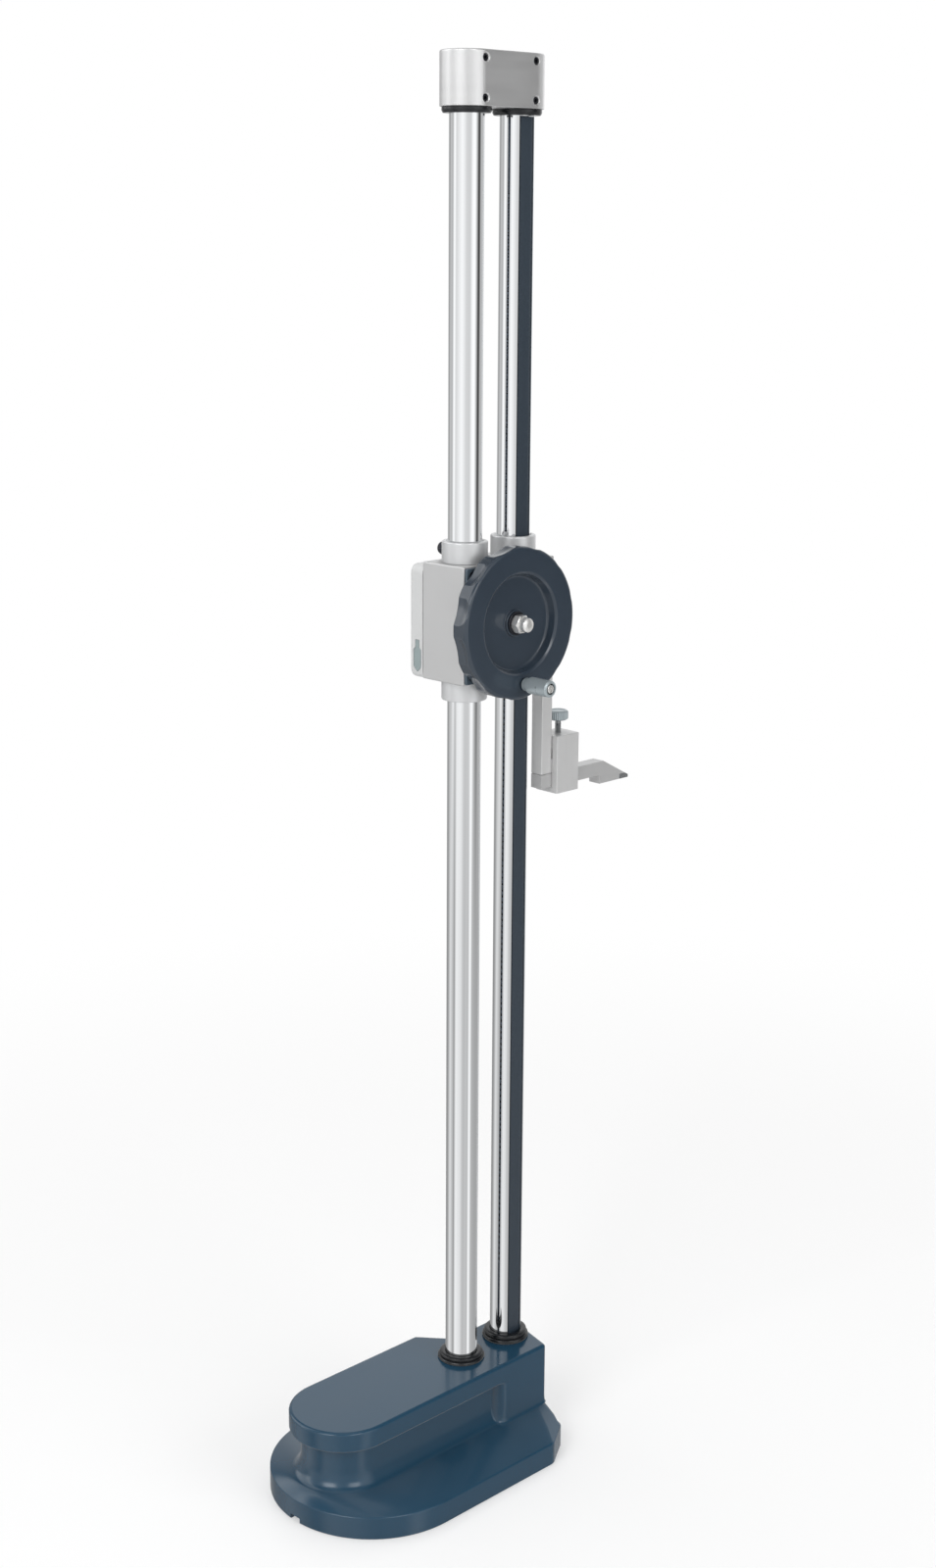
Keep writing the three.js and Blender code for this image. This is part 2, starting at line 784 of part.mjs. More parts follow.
// Slider body: block with two column bores, gear chamber, reading head pocket and cover seat
function sliderBody() {
  const blockAt = (distance) => offsetOutline(
    rectangle(-bodyHalfLength, bodyHalfLength, -bodyHalfWidth, bodyHalfWidth), distance);
  const cornered = (distance) => roundCorners(blockAt(distance), bodyChamfer, 1);
  const block = loft(chamferedSections(cornered, -bodyHalfHeight, bodyHalfHeight, bodyChamfer));
  const high = bodyHalfHeight;
  const sleeveZ = high - sleeveDepth - fitGap;
  const tools = [
    box(-bodyHalfLength - overrun, bodyHalfLength - coverLipLength, -bodyHalfWidth - overrun,
      coverSeatY, -high - overrun, high + overrun),
    bar('y', chamberDiameter, coverSeatY - overrun, chamberDepthY, shaftX, 0, wideSegments),
    bar('y', shaftDiameter + 2 * bushWall + 2 * fitGap, chamberDepthY - overrun,
      chamberDepthY + rearBushLength + fitGap, shaftX, 0, mediumSegments),
    box(rearColumnX - sensorWidth / 2 - sensorPocketWall, rearColumnX + sensorWidth / 2 + sensorPocketWall,
      coverSeatY - overrun, -columnRadius + scaleFlatDepth, -sensorHeight / 2 - sensorPocketWall,
      sensorHeight / 2 + sensorPocketWall),
  ];
  for (const x of [frontColumnX, rearColumnX]) {
    tools.push(bar('z', columnDiameter + 2 * boreClearance, -high - overrun, high + overrun, x, 0,
      wideSegments));
    tools.push(bar('z', sleeveDiameter + 2 * fitGap, -high - overrun, -sleeveZ, x, 0, wideSegments));
    tools.push(bar('z', sleeveDiameter + 2 * fitGap, sleeveZ, high + overrun, x, 0, wideSegments));
  }
  for (const [x, z] of displayScrewPlaces()) {
    tools.push(bar('y', smallScrewDiameter + 2 * fitGap, bodyHalfWidth - smallScrewLength,
      bodyHalfWidth + overrun, x, z, smallSegments));
  }
  for (const z of armScrewHeights()) {
    tools.push(bar('x', armScrewDiameter + 2 * fitGap, bodyHalfLength - armScrewLength,
      bodyHalfLength + overrun, armMidY, z, smallSegments));
  }
  return cut(block, tools);
}

// Flanged guide bush: the collar stands on the body and the sleeve sits in it
function guideBush(x, side, collarHeight) {
  const inner = columnRadius + runningGap;
  const outer = collarDiameter / 2;
  const sleeve = sleeveDiameter / 2;
  const seat = bodyHalfHeight + seatGap;
  const top = bodyHalfHeight + collarHeight;
  const bottom = bodyHalfHeight - sleeveDepth;
  const profile = [
    [inner, bottom],
    [sleeve, bottom],
    [sleeve, seat],
    [outer, seat],
    [outer, top - collarChamfer],
    [outer - collarChamfer, top],
    [inner, top],
  ];
  const placed = profile.map(([radius, height]) => [radius, side * height]);
  return turnedRing('z', placed, x, 0, wideSegments);
}

// Height of the lock screw's axis on the slider
const lockZ = bodyHalfHeight + topCollarHeight / 2;

// Upper front bush, drilled for the lock screw
function lockBush() {
  const hole = bar('y', lockStemDiameter + 2 * fitGap, 0, collarDiameter, frontColumnX, lockZ,
    smallSegments);
  return guideBush(frontColumnX, 1, topCollarHeight).subtract(hole);
}

// Brass pad that the lock screw presses on the column
function lockPad() {
  const start = columnRadius + runningGap;
  return bar('y', lockStemDiameter, start, start + lockPadThickness, frontColumnX, lockZ,
    smallSegments);
}

// Lock screw with its knob
function lockKnob() {
  const start = columnRadius + runningGap + lockPadThickness + seatGap;
  const headStart = collarDiameter / 2 + lockKnobStand;
  const stem = lockStemDiameter / 2;
  const knob = lockKnobDiameter / 2;
  const chamfer = stem / 4;
  const profile = [
    [0, start],
    [stem, start],
    [stem, headStart],
    [knob - chamfer, headStart],
    [knob, headStart + chamfer],
    [knob, lockKnobEndY - chamfer],
    [knob - chamfer, lockKnobEndY],
    [0, lockKnobEndY],
  ];
  return turned('y', profile, frontColumnX, lockZ, mediumSegments);
}

// Black cover plate with the boss that carries the shaft's front bush
function coverPlate() {
  const left = -bodyHalfLength + bodyChamfer;
  const right = bodyHalfLength - coverLipLength - fitGap;
  const high = bodyHalfHeight - bodyChamfer;
  const outline = roundCorners(rectangle(left, right, -high, high), coverCornerRadius);
  const back = coverSeatY - seatGap;
  const plate = prism('y', outline, -bodyHalfWidth, back);
  const boss = bar('y', bossDiameter, back - overrun, back + bossLength, shaftX, 0, wideSegments);
  const bore = bar('y', shaftDiameter + 2 * bushWall + 2 * fitGap, -bodyHalfWidth - overrun,
    back + bossLength + overrun, shaftX, 0, mediumSegments);
  return plate.add(boss).subtract(bore);
}

// Small cross of a recess in a screw head, made of two boxes
function crossRecess(x, z, from, to) {
  const long = smallScrewHeadDiameter / 4;
  const thin = long / 4;
  return box(x - long, x + long, from, to, z - thin, z + thin)
    .add(box(x - thin, x + thin, from, to, z - long, z + long));
}

// Plain bronze bush of the shaft
function shaftBush(from, to) {
  const profile = [
    [shaftDiameter / 2 + fitGap, from],
    [shaftDiameter / 2 + bushWall, from],
    [shaftDiameter / 2 + bushWall, to],
    [shaftDiameter / 2 + fitGap, to],
  ];
  return turnedRing('y', profile, shaftX, 0, mediumSegments);
}

// Reading head board, with its chips on the far side from the scale
function sensorBoard() {
  const face = -columnRadius + scaleFlatDepth - sensorStandOff;
  const [x0, x1] = [rearColumnX - sensorWidth / 2, rearColumnX + sensorWidth / 2];
  return box(x0, x1, face - sensorBoardThickness, face, -sensorHeight / 2, sensorHeight / 2);
}

// Holder that carries the reading head on the cover plate
function sensorHolder() {
  const back = -columnRadius + scaleFlatDepth - sensorStandOff - sensorBoardThickness - seatGap;
  const [x0, x1] = [rearColumnX - sensorWidth / 2, rearColumnX + sensorWidth / 2];
  const window = sensorWidth / 4;
  const block = box(x0, x1, coverSeatY, back, -sensorHeight / 2, sensorHeight / 2);
  const hollow = box(x0 + window, x1 - window, coverSeatY - overrun, back + overrun,
    -sensorHeight / 2 + window, sensorHeight / 2 - window);
  return block.subtract(hollow);
}

// Involute of the pressure angle
function involute(angle) {
  return Math.tan(angle) - angle;
}

// Outline of the pinion, with one tooth pointing at the rack
function pinionOutline() {
  const baseRadius = pinionRadius * Math.cos(pressureAngle);
  const tipRadius = pinionRadius + pinionAddendum;
  const rootRadius = pinionRadius - toothDedendum;
  const halfAtPitch = Math.PI / (2 * pinionTeeth) - toothBacklash / (4 * pinionRadius);
  const flankSteps = 2;
  const flank = Array.from({ length: flankSteps + 1 }, (_, i) => {
    const radius = baseRadius + (tipRadius - baseRadius) * i / flankSteps;
    const angle = Math.acos(Math.min(1, baseRadius / radius));
    return { radius, half: halfAtPitch + involute(pressureAngle) - involute(angle) };
  });
  const side = [{ radius: rootRadius, half: flank[0].half }, ...flank];
  return Array.from({ length: pinionTeeth }, (_, tooth) => {
    const middle = Math.PI + 2 * Math.PI * tooth / pinionTeeth;
    const rising = side.map(({ radius, half }) => [radius, middle - half]);
    const falling = side.toReversed().map(({ radius, half }) => [radius, middle + half]);
    return [...rising, ...falling].map(([r, angle]) => [r * Math.cos(angle), r * Math.sin(angle)]);
  }).flat();
}

// Handwheel shaft with the pinion cut on it, drawn round its own axis
function pinionShaft() {
  const thread = shaftThreadDiameter / 2;
  const journal = shaftDiameter / 2;
  const shoulder = shaftShoulderDiameter / 2;
  const threadEnd = hubY - washerThickness - nutHexHeight;
  const profile = [
    [0, threadEnd],
    [thread, threadEnd],
    [thread, hubY],
    [journal, hubY],
    [journal, wheelBackY + seatGap],
    [shoulder, wheelBackY + seatGap],
    [shoulder, wheelBackY + seatGap + shaftShoulderLength],
    [journal, wheelBackY + seatGap + shaftShoulderLength],
    [journal, shaftTailLength],
    [0, shaftTailLength],
  ];
  const shaft = turned('y', profile, 0, 0, mediumSegments);
  return shaft.add(prism('y', pinionOutline(), -gearWidth / 2, gearWidth / 2));
}

// Rim of the handwheel: finger grooves round a circle, at a share of their full depth
function wheelOutline(inset, depthShare) {
  const stepsPerGroove = 5;
  const count = wheelGrooves * stepsPerGroove;
  return Array.from({ length: count }, (_, i) => {
    const angle = 2 * Math.PI * i / count;
    const groove = ((1 - Math.cos(wheelGrooves * angle)) / 2) ** grooveSharpness;
    const radius = wheelRadius - inset - wheelGrooveDepth * groove * depthShare;
    return [radius * Math.cos(angle), radius * Math.sin(angle)];
  });
}

// Place of the crank knob on the wheel
const knobX = knobOrbitRadius * Math.cos(knobOrbitAngle);
const knobZ = knobOrbitRadius * Math.sin(knobOrbitAngle);

// Handwheel with its dish, shaft bore and tapped hole for the crank knob
function handwheel() {
  const sections = [];
  const edgeSteps = 2;
  for (let i = 0; i <= edgeSteps; i += 1) {
    const angle = (Math.PI / 2) * (i / edgeSteps);
    const inset = wheelEdgeRadius * (1 - Math.sin(angle));
    const outline = wheelOutline(inset, frontGrooveShare);
    sections.push({ outline, z: wheelEdgeRadius * (1 - Math.cos(angle)) });
  }
  sections.push(
    { outline: wheelOutline(0, 1), z: wheelThickness * grooveRampShare },
    { outline: wheelOutline(0, 1), z: wheelThickness - wheelEdgeRadius },
    { outline: wheelOutline(wheelEdgeRadius, 1), z: wheelThickness },
  );
  const disc = turnUpToY(loft(sections));
  const placed = solidOf(geometryOf(disc).translate(0, wheelFrontY, 0));
  const dish = turned('y', [
    [0, wheelFrontY - overrun],
    [dishRadius + wheelEdgeRadius, wheelFrontY - overrun],
    [dishRadius + wheelEdgeRadius, wheelFrontY],
    [dishRadius, wheelFrontY + wheelEdgeRadius],
    [dishRadius - wheelEdgeRadius, dishY],
    [hubBossDiameter / 2, dishY],
    [hubBossDiameter / 2, hubY],
    [0, hubY],
  ], 0, 0, wideSegments);
  return cut(placed, [
    dish,
    bar('y', shaftDiameter + 2 * fitGap, wheelFrontY - overrun, wheelBackY + overrun, 0, 0,
      mediumSegments),
    bar('y', knobScrewDiameter + 2 * fitGap, wheelFrontY - overrun, wheelBackY + overrun, knobX,
      knobZ, smallSegments),
  ]);
}

// Washer under the cap nut
function wheelWasher() {
  const [from, to] = [hubY - washerThickness, hubY - seatGap];
  const profile = [
    [shaftThreadDiameter / 2 + fitGap, from],
    [washerDiameter / 2, from],
    [washerDiameter / 2, to],
    [shaftThreadDiameter / 2 + fitGap, to],
  ];
  return turnedRing('y', profile, 0, 0, mediumSegments);
}

// Domed cap nut on the shaft's end
function capNut() {
  const back = hubY - washerThickness - seatGap;
  const hexFront = back - nutHexHeight;
  const front = back - nutHeight;
  const hex = prism('y', hexagon(nutWidth, 0, 0), hexFront, back);
  const domeHeight = hexFront - front;
  const dome = [[0, back - overrun], [nutDomeRadius, back - overrun]];
  const domeSteps = 3;
  for (let i = 0; i <= domeSteps; i += 1) {
    const angle = (Math.PI / 2) * (i / domeSteps);
    dome.push([nutDomeRadius * Math.cos(angle), hexFront - domeHeight * Math.sin(angle)]);
  }
  const thread = bar('y', shaftThreadDiameter + 2 * fitGap,
    hubY - washerThickness - nutHexHeight - fitGap, back + overrun, 0, 0, mediumSegments);
  return hex.add(turned('y', dome, 0, 0, mediumSegments)).subtract(thread);
}

// Sleeve of the crank knob, which turns on its shoulder screw
function crankKnob() {
  const back = wheelFrontY - knobStand;
  const front = back - knobLength;
  const outer = knobDiameter / 2;
  const waist = knobWaistDiameter / 2;
  const inner = knobScrewDiameter / 2 + fitGap;
  const headInner = knobScrewHeadDiameter / 2 + runningGap;
  const headSeat = front + knobScrewHeadHeight + fitGap;
  const edge = outer - waist;
  const profile = [
    [inner, back],
    [waist, back],
    [waist, back - knobWaistLength],
    [outer, back - knobWaistLength - edge],
    [outer, front + edge],
    [outer - edge, front],
    [headInner, front],
    [headInner, headSeat],
    [inner, headSeat],
  ];
  return turnedRing('y', profile, knobX, knobZ, mediumSegments);
}

// Slotted shoulder screw of the crank knob
function knobScrew() {
  const front = wheelFrontY - knobStand - knobLength;
  const headSeat = front + knobScrewHeadHeight;
  const profile = [
    [0, front],
    [knobScrewHeadDiameter / 2, front],
    [knobScrewHeadDiameter / 2, headSeat],
    [knobScrewDiameter / 2, headSeat],
    [knobScrewDiameter / 2, wheelFrontY + knobScrewThread],
    [0, wheelFrontY + knobScrewThread],
  ];
  const slot = box(knobX - knobScrewHeadDiameter, knobX + knobScrewHeadDiameter, front - overrun,
    front + screwSlotDepth, knobZ - screwSlotWidth / 2, knobZ + screwSlotWidth / 2);
  return turned('y', profile, knobX, knobZ, mediumSegments).subtract(slot);
}

// Middle height of the display unit on the slider
const displayMidZ = -displayDrop;

// Places of the keys
function keyPlaces() {
  return Array.from({ length: keyRows * keyColumns }, (_, i) => [
    keyStartX + keyPitchX * (i % keyColumns),
    keyStartZ - keyPitchZ * Math.floor(i / keyColumns),
  ]);
}

// Outline of the data port's cover, with a pointed lower end and a narrow neck above
function portCoverOutline() {
  const middle = (displayBackY + displayInnerY) / 2;
  const half = portCoverWidth / 2;
  const neck = portCoverNeckWidth / 2;
  const top = portCoverBottom + portCoverHeight;
  const neckZ = top - portCoverNeckHeight;
  return [
    [middle - half, portCoverBottom + portCoverPoint],
    [middle, portCoverBottom],
    [middle + half, portCoverBottom + portCoverPoint],
    [middle + half, neckZ - portCoverShoulder],
    [middle + neck, neckZ],
    [middle + neck, top],
    [middle - neck, top],
    [middle - neck, neckZ],
    [middle - half, neckZ - portCoverShoulder],
  ];
}

// Opening for the data port behind its cover
function portOpening(margin) {
  const middleY = (displayBackY + displayInnerY) / 2;
  const middleZ = portCoverBottom + portCoverHeight / 2;
  return [
    middleY - portPlugWidth / 2 - margin,
    middleY + portPlugWidth / 2 + margin,
    middleZ - portPlugHeight / 2 - margin,
    middleZ + portPlugHeight / 2 + margin,
  ];
}

// Moulded housing of the display, open towards the slider body
function displayHousing() {
  const low = displayMidZ - displayHeight / 2;
  const high = displayMidZ + displayHeight / 2;
  const plain = rectangle(-bodyHalfLength, bodyHalfLength, -high, -low);
  const outlineAt = (distance) => roundCorners(offsetOutline(plain, distance),
    displayCornerRadius + distance);
  const shell = loft(roundedSections(outlineAt, 0, displayThickness, displayEdgeRadius));
  const outside = solidOf(geometryOf(turnUpToY(shell)).translate(0, displayBackY, 0));
  const innerOutline = roundCorners(rectangle(-bodyHalfLength + displayWall, bodyHalfLength - displayWall,
    low + displayWall, high - displayWall), displayCornerRadius - displayWall, 1);
  const [p0, p1, q0, q1] = portOpening(runningGap);
  const [halfWindow, halfHeight] = [windowWidth / 2, windowHeight / 2];
  const lensSeatY = displayFrontY - windowThickness - seatGap;
  const tools = [
    prism('y', innerOutline, displayBackY - overrun, displayInnerY),
    box(-halfWindow - fitGap, halfWindow + fitGap, lensSeatY, displayFrontY + overrun,
      windowCentreZ - halfHeight - fitGap, windowCentreZ + halfHeight + fitGap),
    box(-halfWindow + windowLip, halfWindow - windowLip, displayInnerY - overrun, displayFrontY,
      windowCentreZ - halfHeight + windowLip, windowCentreZ + halfHeight - windowLip),
    bar('y', batteryCoverDiameter + 2 * runningGap, displayInnerY - overrun, displayFrontY + overrun,
      cellCentreX, cellCentreZ, wideSegments),
    box(-bodyHalfLength - overrun, -bodyHalfLength + displayWall + overrun, p0, p1, q0, q1),
    prism('x', offsetOutline(portCoverOutline(), runningGap), -bodyHalfLength - overrun,
      -bodyHalfLength + portCoverThickness),
  ];
  for (const [x, z] of keyPlaces()) {
    tools.push(bar('y', keyDiameter + 2 * runningGap, displayInnerY - overrun,
      displayFrontY + overrun, x, z, endSegments));
  }
  const hollow = cut(outside, tools);
  const posts = displayScrewPlaces().map(([x, z]) => bar('y', postDiameter,
    displayBackY, displayInnerY + overrun / 2, x, z, smallSegments));
  const shafts = displayScrewPlaces().flatMap(([x, z]) => [
    bar('y', smallScrewDiameter + 2 * fitGap, displayBackY - overrun, displayFrontY + overrun, x, z,
      smallSegments),
    bar('y', smallScrewHeadDiameter + 2 * fitGap, displayFrontY - smallScrewHeadHeight,
      displayFrontY + overrun, x, z, smallSegments),
  ]);
  return cut(join([hollow, ...posts]), shafts);
}

// Screw that holds the display on the slider body
function displayScrew(x, z) {
  const seat = displayFrontY - smallScrewHeadHeight + seatGap;
  const head = bar('y', smallScrewHeadDiameter, seat, displayFrontY, x, z, smallSegments);
  const shank = bar('y', smallScrewDiameter, bodyHalfWidth - smallScrewLength + fitGap,
    seat + seatGap, x, z, smallSegments);
  const recess = crossRecess(x, z, displayFrontY - smallScrewHeadHeight / 2, displayFrontY + overrun);
  return head.add(shank).subtract(recess);
}

// Clear window of the display
function displayWindow() {
  const [halfWindow, halfHeight] = [windowWidth / 2, windowHeight / 2];
  return box(-halfWindow, halfWindow, displayFrontY - windowThickness, displayFrontY,
    windowCentreZ - halfHeight, windowCentreZ + halfHeight);
}

// Liquid crystal panel behind the window
function crystalPanel() {
  const [halfWindow, halfHeight] = [windowWidth / 2 - panelMargin, windowHeight / 2 - panelMargin];
  const front = displayInnerY - seatGap;
  return box(-halfWindow, halfWindow, front - panelThickness, front, windowCentreZ - halfHeight,
    windowCentreZ + halfHeight);
}

// Gap between the board and the back of a key at rest
const keyBackY = displayInnerY - seatGap - keyFlangeThickness;

// Main board with a switch under each key and a support under the panel
function mainBoard() {
  const wide = bodyHalfLength - displayWall - boardMargin;
  const half = displayHeight / 2 - displayWall - boardMargin;
  const post = postDiameter + 2 * fitGap;
  const board = box(-wide, wide, boardBackY, boardFrontY, displayMidZ - half, displayMidZ + half);
  const switches = keyPlaces().map(([x, z]) => bar('y', switchDiameter, boardFrontY - boardThickness / 2,
    keyBackY - keyTravel - fitGap, x, z, smallSegments));
  const panelBack = displayInnerY - 2 * seatGap - panelThickness;
  const support = box(-windowWidth / 4, windowWidth / 4, boardFrontY - boardThickness / 2, panelBack,
    windowCentreZ - windowHeight / 4, windowCentreZ + windowHeight / 4);
  const corners = displayScrewPlaces().map(([x, z]) => bar('y', post, boardBackY - overrun,
    boardFrontY + overrun, x, z, smallSegments));
  return cut(join([board, support, ...switches]), corners);
}

// One key: a round cap with a flange behind the housing's face
function key(x, z) {
  const cap = keyDiameter / 2;
  const flange = cap + keyFlange;
  const front = displayFrontY + keyProud;
  const flangeFront = keyBackY + keyFlangeThickness;
  const round = keyProud / 2;
  const profile = [
    [0, keyBackY],
    [flange, keyBackY],
    [flange, flangeFront],
    [cap, flangeFront],
    [cap, front - round],
    [cap - round, front],
    [0, front],
  ];
  return turned('y', profile, x, z, endSegments);
}

// Coin cell on the main board
function coinCell() {
  const back = boardFrontY + seatGap;
  return bar('y', cellDiameter, back, back + cellThickness, cellCentreX, cellCentreZ, wideSegments);
}

// Battery cover with a coin slot
function batteryCover() {
  const radius = batteryCoverDiameter / 2;
  const front = displayFrontY;
  const back = boardFrontY + 2 * seatGap + cellThickness;
  const inner = cellDiameter / 2 - displayWall;
  const profile = [
    [0, back],
    [inner, back],
    [inner, front - batteryCoverThickness],
    [radius, front - batteryCoverThickness],
    [radius, front],
    [0, front],
  ];
  const slot = box(cellCentreX - inner, cellCentreX + inner, front - coinSlotDepth, front + overrun,
    cellCentreZ - coinSlotWidth / 2, cellCentreZ + coinSlotWidth / 2);
  return turned('y', profile, cellCentreX, cellCentreZ, wideSegments).subtract(slot);
}

// Cover of the data port, with the plug that holds it in the opening
function portCover() {
  const outside = -bodyHalfLength;
  const inside = outside + portCoverThickness - seatGap;
  const [p0, p1, q0, q1] = portOpening(0);
  const skin = prism('x', portCoverOutline(), outside, inside);
  return skin.add(box(inside - seatGap, inside + portPlugLength, p0, p1, q0, q1));
}

// Socket of the data port on the main board
function dataPort() {
  const start = -bodyHalfLength + portCoverThickness + portPlugLength + fitGap;
  const [p0, p1, q0, q1] = portOpening(portWall);
  const [r0, r1, s0, s1] = portOpening(0);
  const block = box(start, start + portDepth, boardFrontY + seatGap, p1, q0, q1);
  const well = box(start - overrun, start + portDepth - portWall, Math.max(r0, boardFrontY + portWall / 2),
    r1, s0, s1);
  return block.subtract(well);
}

// Jaw arm: upright bar on the slider's end, with a foot over the scriber
function jawArm() {
  const outline = [
    [armX, armFootZ],
    [armEndX, armFootZ],
    [armEndX, armFootZ + armFootHeight],
    [armX + armWidth, armFootZ + armFootHeight],
    [armX + armWidth, armTopZ],
    [armX, armTopZ],
  ];
  const tools = armScrewHeights().flatMap((z) => [
    bar('x', armScrewDiameter + 2 * fitGap, armX - overrun, armX + armWidth + overrun, armMidY, z,
      smallSegments),
    bar('x', armScrewHeadDiameter + 2 * fitGap, armX + armWidth - armScrewHeadHeight,
      armX + armWidth + overrun, armMidY, z, mediumSegments),
  ]);
  return cut(prism('y', outline, armNearY, armFarY), tools);
}

// Socket screw of the jaw arm
function armScrew(z) {
  const outer = armX + armWidth;
  const seat = outer - armScrewHeadHeight + seatGap;
  const head = bar('x', armScrewHeadDiameter, seat, outer, armMidY, z, mediumSegments);
  const shank = bar('x', armScrewDiameter, bodyHalfLength - armScrewLength + fitGap, seat + seatGap,
    armMidY, z, smallSegments);
  const socket = prism('x', hexagon(armScrewSocketWidth, armMidY, z),
    outer - armScrewHeadHeight / 2, outer + overrun);
  return head.add(shank).subtract(socket);
}

// Clamp box round foot and scriber
function clampBox() {
  const [y0, y1] = [armNearY - fitGap, armFarY + fitGap];
  const outer = roundCorners(rectangle(y0 - clampWall, y1 + clampWall, clampFloorZ - clampFloor,
    clampRoofZ + clampRoof), bodyChamfer, 1);
  const block = prism('x', outer, clampX, clampX + clampLength);
  return cut(block, [
    box(clampX - overrun, clampX + clampLength + overrun, y0, y1, clampFloorZ, clampRoofZ),
    bar('z', clampStemDiameter + 2 * fitGap, clampRoofZ - overrun, clampRoofZ + clampRoof + overrun,
      clampMidX, armMidY, smallSegments),
  ]);
}

// Clamp screw with a round head
function clampScrew() {
  const bottom = armFootZ + armFootHeight + fitGap;
  const neck = clampRoofZ + clampRoof + clampStemLength;
  const stem = clampStemDiameter / 2;
  const head = clampHeadDiameter / 2;
  const profile = [
    [0, bottom],
    [stem, bottom],
    [stem, neck],
    [head - clampHeadChamfer, neck],
    [head, neck + clampHeadChamfer],
    [head, neck + clampHeadHeight - clampHeadChamfer],
    [head - clampHeadChamfer, neck + clampHeadHeight],
    [0, neck + clampHeadHeight],
  ];
  return turned('z', profile, clampMidX, armMidY, mediumSegments);
}

// Scriber bar with a dropped nose and a long bevel, notched for its tip
function scriberBar() {
  const end = armX + scriberLength;
  const noseZ = scriberBottomZ - scriberNoseDrop;
  const outline = [
    [armX, scriberBottomZ],
    [armX + scriberStepX, scriberBottomZ],
    [armX + scriberStepX, noseZ],
    [end - tipLength - fitGap, noseZ],
    [end - tipLength - fitGap, noseZ + tipDepth],
    [scriberBevelX(noseZ + tipDepth), noseZ + tipDepth],
    [armX + scriberSlopeX, scriberTopZ],
    [armX, scriberTopZ],
  ];
  return prism('y', outline, armNearY, armFarY);
}

// The bevel runs down to the front of the tip
function scriberBevelX(z) {
  const end = armX + scriberLength;
  const tipTop = scriberBottomZ - scriberNoseDrop + tipHeight;
  const share = (z - tipTop) / (scriberTopZ - tipTop);
  return end + (armX + scriberSlopeX - end) * share;
}

// Hard metal tip, brazed into the notch of the scriber's nose
function carbideTip() {
  const end = armX + scriberLength;
  const noseZ = scriberBottomZ - scriberNoseDrop;
  const seat = noseZ + tipDepth - seatGap;
  const outline = [
    [end - tipLength, noseZ],
    [end, noseZ],
    [end, noseZ + tipHeight],
    [scriberBevelX(seat), seat],
    [end - tipLength, seat],
  ];
  return prism('y', outline, armNearY, armFarY);
}

// Colours of the pieces
const paintBlue = 0x44606f;
const blackSteel = 0x24282c;
const satinSilver = 0xc9cbca;
const chrome = 0xd9dde0;
const darkPlastic = 0x343c46;
const rubberBlack = 0x16181a;
const greyPlastic = 0x8f9aa0;
const bronze = 0xa27c48;
const boardGreen = 0x2c6b45;

// Frame: base, columns and head
const frame = new THREE.Group();
frame.add(
  piece('base_casting', baseCasting(), paintBlue, 0.35, 0.1),
  piece('column_bolt_front', columnBolt(frontColumnX), blackSteel, 0.5, 0.8),
  piece('column_bolt_rear', columnBolt(rearColumnX), blackSteel, 0.5, 0.8),
  piece('column_front', frontColumn(), chrome, 0.08, 1),
  piece('column_rear', rearColumn(), chrome, 0.08, 1),
  piece('rack_strip', rackStrip(), 0x8b8f92, 0.35, 1),
  piece('scale_strip', scaleStrip(), 0x3b4450, 0.4, 0.2),
  piece('base_ring_front', baseRing(frontColumnX), rubberBlack, 0.4, 0),
  piece('base_ring_rear', baseRing(rearColumnX), rubberBlack, 0.4, 0),
  piece('head_cap', headCap(), satinSilver, 0.35, 0.8),
  ...setScrewPlaces().map(([x, z], i) => piece(`head_set_screw_${i + 1}`, headSetScrew(x, z),
    blackSteel, 0.4, 0.8)),
  piece('stop_ring_front', stopRing(frontColumnX), rubberBlack, 0.5, 0),
  piece('stop_ring_rear', stopRing(rearColumnX), rubberBlack, 0.5, 0),
);

// Slider, drawn round its own middle height
const slider = new THREE.Group();
slider.position.z = sliderHeight;
slider.add(
  piece('slider_body', sliderBody(), satinSilver, 0.4, 0.7),
  piece('guide_bush_front_top', lockBush(), satinSilver, 0.25, 0.9),
  piece('guide_bush_front_bottom', guideBush(frontColumnX, -1, bottomCollarHeight), satinSilver, 0.25, 0.9),
  piece('guide_bush_rear_top', guideBush(rearColumnX, 1, topCollarHeight), satinSilver, 0.25, 0.9),
  piece('guide_bush_rear_bottom', guideBush(rearColumnX, -1, bottomCollarHeight), satinSilver, 0.25, 0.9),
  piece('cover_plate', coverPlate(), darkPlastic, 0.35, 0.1),
  piece('sensor_board', sensorBoard(), boardGreen, 0.5, 0),
  piece('sensor_holder', sensorHolder(), 0x2b2d30, 0.6, 0),
  piece('shaft_bush_front', shaftBush(-bodyHalfWidth, coverSeatY + bossLength), bronze, 0.4, 0.9),
  piece('shaft_bush_rear', shaftBush(chamberDepthY, chamberDepthY + rearBushLength), bronze, 0.4, 0.9),
  piece('lock_pad', lockPad(), bronze, 0.4, 0.9),
  piece('lock_knob', lockKnob(), blackSteel, 0.35, 0.6),
);

// Jaw arm, clamp and scriber on the slider
slider.add(
  piece('jaw_arm', jawArm(), satinSilver, 0.35, 0.8),
  ...armScrewHeights().map((z, i) => piece(`arm_screw_${i + 1}`, armScrew(z), blackSteel, 0.4, 0.8)),
  piece('clamp_box', clampBox(), satinSilver, 0.3, 0.9),
  piece('clamp_screw', clampScrew(), blackSteel, 0.35, 0.8),
  piece('scriber_bar', scriberBar(), 0xb9bbbc, 0.3, 0.9),
  piece('carbide_tip', carbideTip(), 0x55585a, 0.3, 0.8),
);

